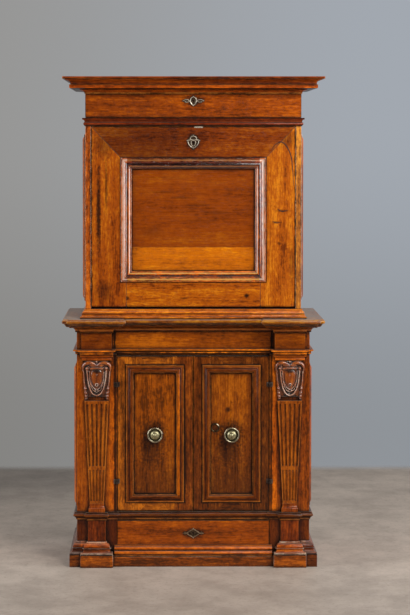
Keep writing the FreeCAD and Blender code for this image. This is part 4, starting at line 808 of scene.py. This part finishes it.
def remeshed(mesh, grain, smooth, keep, strength=0.5):
    # Merges overlapping forms into one skin, as a carver leaves it
    holder = addObject("carving block", mesh)
    skin = holder.modifiers.new("skin", "REMESH")
    skin.mode = "VOXEL"
    skin.voxel_size = grain
    soften = holder.modifiers.new("soften", "SMOOTH")
    soften.factor, soften.iterations = strength, smooth
    thin = holder.modifiers.new("thin", "DECIMATE")
    thin.ratio = keep
    return takeMesh(holder)


# The carved cartouche at the head of each pilaster, in mm from its middle and its foot
cartouche = {
    "half": 325.0, "foot": 559.5, "ground": -149.2, "back": -144.2, "stand": 0.6, "grain": 0.0009,
    "smooth": 3, "keep": 0.4,
    "board": [(-39, 3), (-32, 3), (-29, 13), (29, 13), (32, 3), (39, 3), (41, 14), (43, 45), (46, 98),
              (49.5, 112), (48, 124), (38, 134.5), (6, 135.5), (0, 133), (-6, 135.5), (-38, 134.5),
              (-48, 124), (-49.5, 112), (-46, 98), (-43, 45), (-41, 14)],
    "single": {
        "bar": [(-21, 108.5, 4.2, 7.5), (0, 109.5, 4.6, 8.4), (21, 108.5, 4.2, 7.5)],
        "bead": [(0, 131.6, 4.5, 9.0), (0, 132.2, 4.5, 9.0)],
        "field": [(0, 88, 20, 4.2), (0, 62, 18, 5.0), (0, 45, 10, 4.2)],
        "upper pin": [(0, 86.4, 1.7, 6.2), (0, 87, 1.7, 6.2)],
    },
    "paired": {
        "lobe": [(3, 119, 5, 6), (10, 124, 6.6, 8.6), (22, 128, 7.2, 10), (34, 126.5, 7.2, 10),
                 (43, 120, 6, 9), (46, 110, 4.4, 7), (45, 101, 2.8, 4.5)],
        "lobe root": [(6, 120, 5.4, 6.5), (14, 118.5, 5.2, 6.5), (22, 119.5, 3.4, 5)],
        "scroll": [(32.6, 110, 6.2, 11.6), (33.4, 109.4, 6.2, 11.6)],
        "rim": [(33, 106, 3.4, 10.4), (32, 97, 2.9, 10), (30.5, 80, 2.8, 9.8), (28, 61, 2.8, 9.8),
                (24.5, 47, 2.9, 10), (20, 35, 3.0, 10.4), (12, 23.5, 3.2, 10.8), (0, 17.5, 3.4, 11)],
        "inner rim": [(25.4, 98, 1.5, 6), (24.6, 80, 1.5, 6.4), (22, 60, 1.6, 6.8), (17.4, 45, 1.7, 7),
                      (10.5, 34.5, 1.8, 7), (0, 29.5, 1.8, 7)],
        "crossing": [(-20, 61, 1.5, 6.6), (-14, 48, 1.8, 7.6), (-3, 38.6, 1.9, 8), (8, 35, 1.7, 7.4),
                     (15, 37, 1.3, 6)],
        "strap": [(43.6, 100, 2.4, 5), (42.6, 85, 2.9, 5.6), (41.6, 68, 3.2, 6), (40.4, 54, 3.7, 6.4),
                  (39, 47, 3.6, 6.6)],
        "drop": [(38.5, 48, 3.3, 6), (38.1, 44.5, 5.8, 9), (37.6, 40.5, 6.2, 9.6), (37.1, 36, 3.8, 6),
                 (36.9, 33, 3.0, 5), (36.6, 29.4, 5.4, 8.4), (36.3, 24.6, 5.7, 8.8), (36, 20.6, 3.2, 5.2),
                 (35.8, 18.2, 4.8, 7.4), (35.5, 13.6, 5.0, 7.8), (35.2, 10.2, 2.9, 4.6), (35, 7.8, 3.4, 5.2),
                 (34.8, 4.6, 2.0, 3.4)],
    },
    "boss": {"rise": 54, "round": 4.2, "half": 2.1, "height": 9.4},
    # Deep painted shade in the recesses and painted highlights on the arrises; the spots are painted shadow
    # under the bar and between the drops
    "look": dict(seed=24.1, reach=0.02, rubbedAndHighlit=1.0, coat=1.0, gloss=0.24, rubAndHighlight=dye(232, 200, 176), wax=0.97,
                 relief=0.3, tint=(1.05, 1.3, 1.0), specular=0.6, limit=0.3,
                 spots=[((side * 0.325, -0.1496, 0.573), (0.05, 0.005, 0.018), 0.97) for side in (-1, 1)]
                 + [((side * 0.325, -0.149, 0.66), (0.024, 0.04, 0.012), 0.9) for side in (-1, 1)]),
}


def carveCartouche(name, side):
    build = bmesh.new()
    addSlab(build, cartouche["board"], cartouche["back"], cartouche["ground"] - cartouche["stand"])
    strokes = list(cartouche["single"].values())
    for points in cartouche["paired"].values():
        strokes += [points, [(-x, z, half, height) for x, z, half, height in points]]
    boss = cartouche["boss"]
    turns = [turn * math.pi / 5 for turn in range(11)]
    strokes.append([(boss["round"] * math.sin(turn), boss["rise"] + boss["round"] * math.cos(turn),
                     boss["half"], boss["height"]) for turn in turns])
    for points in strokes:
        carveStroke(build, points, cartouche["ground"])
    mesh = settleMesh(build, name, (side * cartouche["half"] / 1000, 0, cartouche["foot"] / 1000))
    mesh = remeshed(mesh, cartouche["grain"], cartouche["smooth"], cartouche["keep"])
    mesh.name = name
    return addPiece(name, mesh, makeWood(name + "_wood", cartouche["look"]), "cabinet")


for name, side in (("carved_cartouche_left", -1), ("carved_cartouche_right", 1)):
    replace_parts(carveCartouche(name, side), "pilaster_cartouches")
print("cartouches carved")

# Turned brass, as (radius, depth) in metres; the dome is the part inside its radius
doorKnob = {
    "profile": [(0, 0), (.016, 0), (.0162, .0012), (.0158, .0024), (.0125, .0033), (.0092, .0042),
                (.008, .0062), (.0078, .01), (.0084, .015), (.0104, .0196), (.015, .0248), (.0205, .0284),
                (.0244, .0304), (.0257, .0322), (.026, .034), (.0256, .0358), (.0246, .037),
                (.0232, .0374), (.0218, .037), (.0208, .0358), (.02, .0336), (.0194, .0312), (.0186, .03),
                (.0176, .0302), (.0168, .0316), (.016, .0338), (.0148, .0362), (.0128, .0384),
                (.01, .0404), (.0074, .0414), (.006, .041), (.005, .0418), (.0036, .0436), (.0018, .0448),
                (0, .045)],
    "dome": .0196, "domeDepth": .028, "sharp": 50,
}
keyholeRing = {
    "profile": [(.0108, 0), (.0109, .0016), (.0116, .0026), (.0128, .0032), (.0140, .0028), (.0147, .0016),
                (.0149, 0)],
    "sharp": 50,
}


def turnPiece(name, profile, at, ring=False, turns=56):
    # A turned piece about the axis that runs from front to back
    build = bmesh.new()
    angles = [2 * math.pi * k / turns for k in range(turns)]
    rings = []
    for radius, depth in profile:
        rings.append([build.verts.new((radius * math.cos(angle), -depth, radius * math.sin(angle)))
                      for angle in (angles if radius else angles[:1])])
    pairs = list(zip(rings, rings[1:])) + ([(rings[-1], rings[0])] if ring else [])
    for one, two in pairs:
        for k in range(turns):
            m = (k + 1) % turns
            if len(one) == 1:
                build.faces.new((one[0], two[k], two[m]))
            elif len(two) == 1:
                build.faces.new((one[m], one[k], two[0]))
            else:
                build.faces.new((one[m], one[k], two[k], two[m]))
    return settleMesh(build, name, at)


def seatOf(node):
    # The middle of the face that a node stands on
    low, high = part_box(node)
    return ((low[0] + high[0]) / 2, high[1], (low[2] + high[2]) / 2)


for side in ("left", "right"):
    name, at = side + "_turned_knob", seatOf(side + "_door_knob")
    knob = addPiece(name, turnPiece(name, doorKnob["profile"], at), metals["brass"], side + "_door",
                    doorKnob["sharp"])
    knob.data.materials.append(metals["tarnished dome"])
    for polygon in knob.data.polygons:
        away = polygon.center - Vector(at)
        if math.hypot(away.x, away.z) < doorKnob["dome"] and away.y < -doorKnob["domeDepth"]:
            polygon.material_index = 1
    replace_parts(knob, side + "_door_knob")
name, at = "turned_keyhole_ring", seatOf("right_door_keyhole_ring")
ring = addPiece(name, turnPiece(name, keyholeRing["profile"], at, True), metals["tarnished ring"],
                "right_door", keyholeRing["sharp"])
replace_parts(ring, "right_door_keyhole_ring")
print("knobs and ring turned")


def foldDown(points):
    # The points, and then their mirror image below in the opposite order
    return points + [(x, -z) for x, z in points[-2::-1]]


# Sawn and chased plates: right halves of their outlines, piercings, raised lines and pins, in mm;
# the raised lines take a brighter metal, rubbed brass with painted highlight
keyPlates = {
    "frieze_drawer_escutcheon": dict(
        body="frieze_drawer", tilt=-14, keyhole=(0, 1.2), hole=(3.1, 2.2, 10.4), ridge="silvered brass",
        half=[(0, 18.2), (2.8, 17.4), (3.6, 14.2), (6.5, 13.2), (10.6, 11.4), (13.0, 7.4), (12.6, 3.2),
              (16.2, 4.6), (19.0, 7.0), (22.0, 5.0), (25.0, 8.2), (28.6, 7.4), (29.4, 4.2), (33.0, 5.4),
              (37.0, 1.2), (33.6, -2.0), (30.0, -1.6), (28.8, -5.4), (24.4, -5.6), (21.6, -2.8), (18.0, -4.6),
              (15.0, -2.8), (12.2, -3.8), (11.6, -9.0), (7.8, -13.2), (3.6, -15.6), (0, -18.0)],
        pierced=[(17.6, 1.2, 1.6), (25.6, 1.4, 2.2), (31.6, 1.4, 1.2)],
        ridges=[[(0, 14.6, 1.2, 1.2), (6, 11.4, 1.3, 1.3), (9.6, 5.4, 1.4, 1.4), (9.2, -3, 1.4, 1.4),
                 (5.6, -9.8, 1.3, 1.3), (0, -14, 1.2, 1.2)],
                [(12.6, 0, 0.8, 0.8), (17, 4.2, 0.9, 1), (23, 5, 0.9, 1), (28.6, 3.8, 0.9, 1),
                 (34, 1.4, 0.6, 0.6)],
                [(12.6, 0, 0.8, 0.8), (17, -2.6, 0.9, 1), (23, -3.4, 0.9, 1), (28, -1.4, 0.8, 0.8)]],
        pins=[(0, 16, 1.4), (0, -15.4, 1.3), (34.2, 1.2, 1.2)]),
    "fall_escutcheon": dict(
        body="fall_front", tilt=0, keyhole=(0, -2.2), hole=(3.3, 2.2, 10.6), ridge="silvered brass",
        half=[(0, 22.6), (2.2, 25.8), (4.6, 24.0), (4.2, 20.6), (7.6, 22.6), (11.2, 20.0), (10.4, 15.6),
              (14.8, 14.2), (17.2, 10.4), (21.6, 7.4), (22.4, 3.4), (19.4, 0.6), (19.6, -4.6), (16.4, -9.8),
              (12.8, -15.0), (8.6, -19.4), (5.2, -21.2), (3.6, -25.2), (0, -27.6)],
        pierced=[(6.4, 13.6, 2.2), (14.2, -1.6, 1.8), (12.4, -7.0, 1.9), (8.6, -12.8, 1.6)],
        ridges=[[(0, 5.2, 1.9, 2.0), (7, 6.6, 1.9, 2.0), (14, 6.0, 1.8, 1.8), (20.6, 4.2, 1.5, 1.5)],
                [(17.4, 2, 1, 1.1), (16.6, -5, 1.1, 1.2), (12.6, -11.6, 1.1, 1.2), (6.4, -17.6, 1.1, 1.2),
                 (0, -20.6, 1.2, 1.3)],
                [(0, 17.6, 1.2, 1.3), (5.6, 18.2, 1.1, 1.2), (9.6, 12.4, 1.1, 1.2), (9.8, 8, 0.9, 1)],
                [(6.4, 2.4, 0.9, 1), (7.4, -5, 0.9, 1), (4.8, -12, 0.9, 1), (0, -14.6, 0.9, 1)]],
        pins=[(0, 21.6, 1.4), (0, -23.6, 1.3), (18.6, -1.2, 1.1)]),
    "plinth_drawer_escutcheon": dict(
        body="plinth_drawer", tilt=0, keyhole=(0, 1.4), hole=(3.0, 2.0, 9.4), ridge="worn brass",
        half=foldDown([(0, 18.6), (2.4, 15.0), (8.0, 12.0), (14.2, 8.8), (19.2, 5.0), (22.6, 1.9),
                       (25.2, 3.8), (27.6, 6.8), (30.4, 5.6), (29.4, 2.4), (32.6, 3.0), (36.4, 0)]),
        pierced=[(12.6, 0, 2.4), (18.0, 0, 1.2)],
        ridges=[[(0, 14.6, 1.2, 1.3), (8, 9.6, 1.1, 1.2), (16, 4.4, 1.1, 1.2), (22, 0, 1.0, 1.0)],
                [(0, -14.6, 1.2, 1.3), (8, -9.6, 1.1, 1.2), (16, -4.4, 1.1, 1.2), (22, 0, 1.0, 1.0)],
                [(23, 0, 0.9, 0.9), (29, 0.2, 1.2, 1.3), (34, 0, 0.8, 0.8)]],
        pins=[(0, 15.8, 1.3), (0, -15.8, 1.3), (26.4, 0, 1.3)]),
}
# The plates' thickness and the round of their edges in metres; how their chasing is cut, in mm
plateWork = {"thick": 0.0012, "edge": 0.0002, "bed": 0.3, "sink": 0.6, "ridgeSides": 8, "pinShift": 0.05,
             "sharp": 40, "slotWaist": 0.7}


def keyholeLoop(radius, slot, drop, tilt):
    # A round with a slot below it, turned a little
    turns = [math.radians(angle) for angle in range(-150, 151, 25)]
    loop = [(radius * math.sin(turn), radius * math.cos(turn)) for turn in turns]
    loop += [(side * slot * plateWork["slotWaist"], -drop) for side in (1, -1)]
    c, s = math.cos(math.radians(tilt)), math.sin(math.radians(tilt))
    return [(x * c - z * s, x * s + z * c) for x, z in loop]


def cutPlate(name, loops):
    # A plate sawn from flat curves, the outline and then the piercings, with its edges filed round
    flat = bpy.data.curves.new(name, "CURVE")
    flat.dimensions = "2D"
    flat.fill_mode = "BOTH"
    flat.extrude = plateWork["thick"] / 2
    flat.bevel_depth = plateWork["edge"]
    flat.bevel_resolution = 1
    flat.offset = -plateWork["edge"]
    for loop in loops:
        spline = flat.splines.new("POLY")
        spline.points.add(len(loop) - 1)
        for point, (x, z) in zip(spline.points, loop):
            point.co = (x / 1000, z / 1000, 0, 1)
        spline.use_cyclic_u = True
    mesh = takeMesh(addObject(name, flat))
    mesh.transform(Matrix.Rotation(math.pi / 2, 4, "X"))
    return mesh


def makeKeyPlate(node, plate):
    low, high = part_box(node)
    back = high[1] * 1000
    name = "chased_" + node
    shiftX, shiftZ = plate["keyhole"]
    half = plate["half"]
    loops = [flowLine(half + [(-x, z) for x, z in half[-2:0:-1]], 3, True),
             [(x + shiftX, z + shiftZ) for x, z in keyholeLoop(*plate["hole"], plate["tilt"])]]
    turns = [k * math.pi / 5 for k in range(10)]
    for side in (-1, 1):
        for x, z, radius in plate["pierced"]:
            loops.append([(side * x + radius * math.cos(turn), z + radius * math.sin(turn))
                          for turn in turns])
    build = bmesh.new()
    build.from_mesh(cutPlate(name, loops))
    seat = back / 1000 - plateWork["thick"] / 2 - plateWork["edge"]
    bmesh.ops.translate(build, verts=build.verts, vec=(0, seat, 0))
    front = back - plateWork["thick"] * 1000 - plateWork["bed"]
    plainFaces = len(build.faces)
    for points in plate["ridges"]:
        for side in (-1, 1):
            line = [(side * x, z, wide, height) for x, z, wide, height in points]
            carveStroke(build, line, front, plateWork["sink"], plateWork["ridgeSides"])
    for x, z, radius in plate["pins"]:
        for side in ((-1, 1) if x else (1,)):
            carvePin(build, (side * x, z), (radius, radius), plateWork["pinShift"], front, plateWork["sink"])
    mesh = settleMesh(build, name, ((low[0] + high[0]) / 2, 0, (low[2] + high[2]) / 2))
    piece = addPiece(name, mesh, metals["dark brass"], plate["body"], plateWork["sharp"])
    # The raised chasing takes the brighter metal: rubbed brass with painted highlight
    piece.data.materials.append(metals[plate["ridge"]])
    for polygon in piece.data.polygons[plainFaces:]:
        polygon.material_index = 1
    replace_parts(piece, node)


for node, plate in keyPlates.items():
    makeKeyPlate(node, plate)

# The keeper let into the top edge of the fall, in mm
keeper = {"left": 4.0, "right": 31.0, "low": 1477.2, "high": 1481.7, "cut": 1.2, "rim": 1, "bed": 1.0,
          "face": -149.0, "stand": 0.7, "pinFromEnd": 4, "pin": (1.1, 0.8), "pinShift": 0.1, "pinSink": 0.4,
          "sharp": 40}


def makeKeeper():
    left, right, low, high = [keeper[key] for key in ("left", "right", "low", "high")]
    cut, rim = keeper["cut"], low + keeper["rim"]
    front = keeper["face"] - keeper["stand"]
    build = bmesh.new()
    outline = [(left, rim), (left + cut, low), (right - cut, low), (right, rim), (right, high), (left, high)]
    addSlab(build, flowLine(outline, 2, True), keeper["face"] + keeper["bed"], front)
    for x in (left + keeper["pinFromEnd"], right - keeper["pinFromEnd"]):
        carvePin(build, (x, (low + high) / 2), keeper["pin"], keeper["pinShift"], front, keeper["pinSink"])
    name = "fall_keeper_plate"
    addPiece(name, settleMesh(build, name, (0, 0, 0)), metals["silvered brass"], "fall_front",
             keeper["sharp"])


makeKeeper()
print("plates chased")

# Fine dark lines that the fall's joints and one crack draw on its face: (x, z, half width, height) in mm
fallLines = {
    "face": -149.0, "sink": 0.5, "sides": 8, "colour": dye(20, 10, 6), "dry": dye(52, 26, 14),
    "crumbs": ((240.0, 4.0, 0.65), (0.4, 0.7)), "rough": (0.6, 0.9),
    "strokes": [[(-341.6, 1481.2, 0.9, 0.18), (-244.2, 1378, 0.9, 0.18)],
                [(341.6, 1481.2, 0.8, 0.18), (244.2, 1378, 0.8, 0.18)],
                [(-225.2, 873, 0.7, 0.16), (-225.2, 959, 0.7, 0.16)],
                [(225.2, 873, 0.7, 0.16), (225.2, 959, 0.7, 0.16)],
                [(262, 1404, 0.8, 0.18), (276, 1422, 1.4, 0.2), (295, 1430, 1.8, 0.22),
                 (313, 1415, 1.8, 0.22), (327, 1384, 1.6, 0.22), (333, 1340, 1.3, 0.2),
                 (336, 1284, 0.8, 0.18)],
                [(282, 1206, 0.8, 0.16), (297, 1197, 1.8, 0.22), (316, 1201, 0.8, 0.16)],
                [(266, 1164, 0.6, 0.16), (280, 1158, 1.4, 0.2), (291, 1161, 0.6, 0.16)]],
}


def makeFallLines():
    build = bmesh.new()
    for points in fallLines["strokes"]:
        carveStroke(build, points, fallLines["face"], fallLines["sink"], fallLines["sides"])
    material, tree, shader = newMaterial("dark joint wax")
    crumbs = cloud(tree, placeOn(tree), fallLines["crumbs"])
    feed(tree, shader, {"Base Color": mixColour(tree, crumbs, fallLines["colour"], fallLines["dry"]),
                        "Roughness": remap(tree, crumbs, 0.0, 1.0, *fallLines["rough"])})
    addPiece("fall_joint_lines", settleMesh(build, "fall_joint_lines", (0, 0, 0)), material, "fall_front")


makeFallLines()
print("joint lines drawn")

# The studio: sizes in metres; a fall of light is from, to and the values there
stage = {
    "reach": 1.61, "blur": 0.12, "wide": 4.0, "fade": 1.2, "floor": dye(188, 173, 159),
    "fleck": dye(160, 146, 133), "pit": dye(118, 108, 98), "pitted": 0.45, "rough": 0.55,
    "clouds": ((5.0, 8.0, 0.72), (0.32, 0.68)), "pits": ((70.0, 5.0, 0.7), (0.52, 0.7)), "soft": 0.03,
    "nearFall": (-0.7, 0.0, 0.78, 0.97), "cornerFall": (0.95, 1.9, 1.0, 0.58), "cornerSlant": 0.6,
    "wallLeft": dye(150, 149, 147), "wallRight": dye(162, 168, 176), "lowShade": (0.76, 0.75, 0.73, 1),
    "wallTurn": (-0.14, 0.14), "lowFall": (-0.17, 0.01), "gloomTurn": (-0.25, 0.35), "gloom": dye(58, 56, 54),
    "room": (1.0, 0.99, 0.97, 1), "ambient": 0.28,
}


def makeFloor():
    reach, wide = stage["reach"], stage["wide"]
    rear = reach + stage["blur"]
    mesh = bpy.data.meshes.new("studio_floor")
    edge = [(-wide, -wide, 0), (wide, -wide, 0), (wide, rear, 0), (-wide, rear, 0)]
    mesh.from_pydata(edge, [], [(0, 1, 2, 3)])
    floor = addObject("studio_floor", mesh)
    material, tree, shader = newMaterial("studio floor")
    place = placeOn(tree)
    slab = mixColour(tree, cloud(tree, place, stage["clouds"]), stage["floor"], stage["fleck"])
    pits = times(tree, cloud(tree, place, stage["pits"]), stage["pitted"])
    slab = mixColour(tree, pits, slab, stage["pit"])
    # Less light falls on the rear left corner and close to the camera
    x, y = split(tree, place)[:2]
    corner = remap(tree, minus(tree, y, times(tree, x, stage["cornerSlant"])), *stage["cornerFall"])
    slab = vecCalc(tree, "SCALE", slab, times(tree, corner, remap(tree, y, *stage["nearFall"])))
    feed(tree, shader, {"Base Color": slab, "Roughness": stage["rough"]})
    # The far parts fade into the background
    away = vecCalc(tree, "LENGTH", vecCalc(tree, "ADD", place, (0, wide - reach - stage["fade"], 0)))
    outer = remap(tree, away, wide - stage["fade"], wide)
    gone = calc(tree, "MAXIMUM", outer, remap(tree, y, reach - stage["soft"], rear))
    fade = mixShaders(tree, gone, shader, addNode(tree, "ShaderNodeBsdfTransparent"))
    tree.links.new(fade.outputs[0], tree.nodes["Material Output"].inputs["Surface"])
    mesh.materials.append(material)


def makeWorld():
    world = bpy.data.worlds.new("studio")
    bpy.context.scene.world = world
    world.use_nodes = True
    tree = world.node_tree
    seen = tree.nodes["Background"]
    path = addNode(tree, "ShaderNodeLightPath").outputs
    x, y, z = split(tree, addNode(tree, "ShaderNodeTexCoord").outputs["Generated"])
    wall = mixColour(tree, remap(tree, x, *stage["wallTurn"]), stage["wallLeft"], stage["wallRight"])
    low = mixColour(tree, remap(tree, z, *stage["lowFall"]), stage["lowShade"], (1, 1, 1, 1))
    wall = mixColour(tree, 1.0, wall, low, "MULTIPLY")
    tree.links.new(wall, seen.inputs["Color"])
    room = addNode(tree, "ShaderNodeBackground", {"Color": stage["room"], "Strength": stage["ambient"]})
    # What gloss shows: the wall ahead, and the dim room behind the camera
    behind = mixColour(tree, remap(tree, y, *stage["gloomTurn"]), stage["gloom"], wall)
    mirrored = addNode(tree, "ShaderNodeBackground", {"Color": behind})
    lit = mixShaders(tree, path["Is Glossy Ray"], room, mirrored)
    shown = plus(tree, path["Is Camera Ray"], path["Is Transmission Ray"], True)
    both = mixShaders(tree, shown, lit, seen)
    tree.links.new(both.outputs[0], tree.nodes["World Output"].inputs["Surface"])


lamps = {
    "key": {"at": (1.9, -3.1, 3.2), "aim": (0.05, -0.1, 0.8), "size": (1.2, 1.2), "watts": 96,
            "tint": (1.0, 0.97, 0.93)},
    "left_bank": {"at": (-2.1, -0.9, 1.5), "aim": (-0.1, -0.3, 0.85), "size": (1.6, 1.9), "watts": 40,
                  "tint": (0.94, 0.97, 1.0)},
    "right_bank": {"at": (2.1, -0.9, 1.5), "aim": (0.1, -0.3, 0.85), "size": (1.6, 1.9), "watts": 44,
                   "tint": (0.94, 0.97, 1.0)},
}


def makeLamps():
    for name, lamp in lamps.items():
        light = bpy.data.lights.new(name, "AREA")
        light.shape = "RECTANGLE"
        light.size, light.size_y = lamp["size"]
        light.energy = lamp["watts"]
        light.color = lamp["tint"]
        holder = addObject(name, light)
        holder.location = lamp["at"]
        holder.rotation_euler = (Vector(lamp["aim"]) - Vector(lamp["at"])).to_track_quat("-Z", "Y").to_euler()


# The photograph's view: focal length in pixels of its height, angles in radians
view = {"at": (-0.1057, -6.107, 1.4294), "focal": 1777.5, "rows": 615, "pitch": 0.0342, "yaw": 0.0070,
        "shift": (0.05, -0.17), "sensor": 36.0}


def makeCamera():
    data = bpy.data.cameras.new("photograph")
    data.sensor_width = view["sensor"]
    data.lens = view["focal"] * data.sensor_width / view["rows"]
    data.shift_x, data.shift_y = view["shift"]
    camera = addObject("photograph", data)
    camera.location = view["at"]
    camera.rotation_euler = (math.pi / 2 - view["pitch"], 0, -view["yaw"])
    bpy.context.scene.camera = camera


makeFloor()
makeWorld()
makeLamps()
makeCamera()
bpy.context.scene.view_settings.view_transform = "Standard"
print("studio ready")
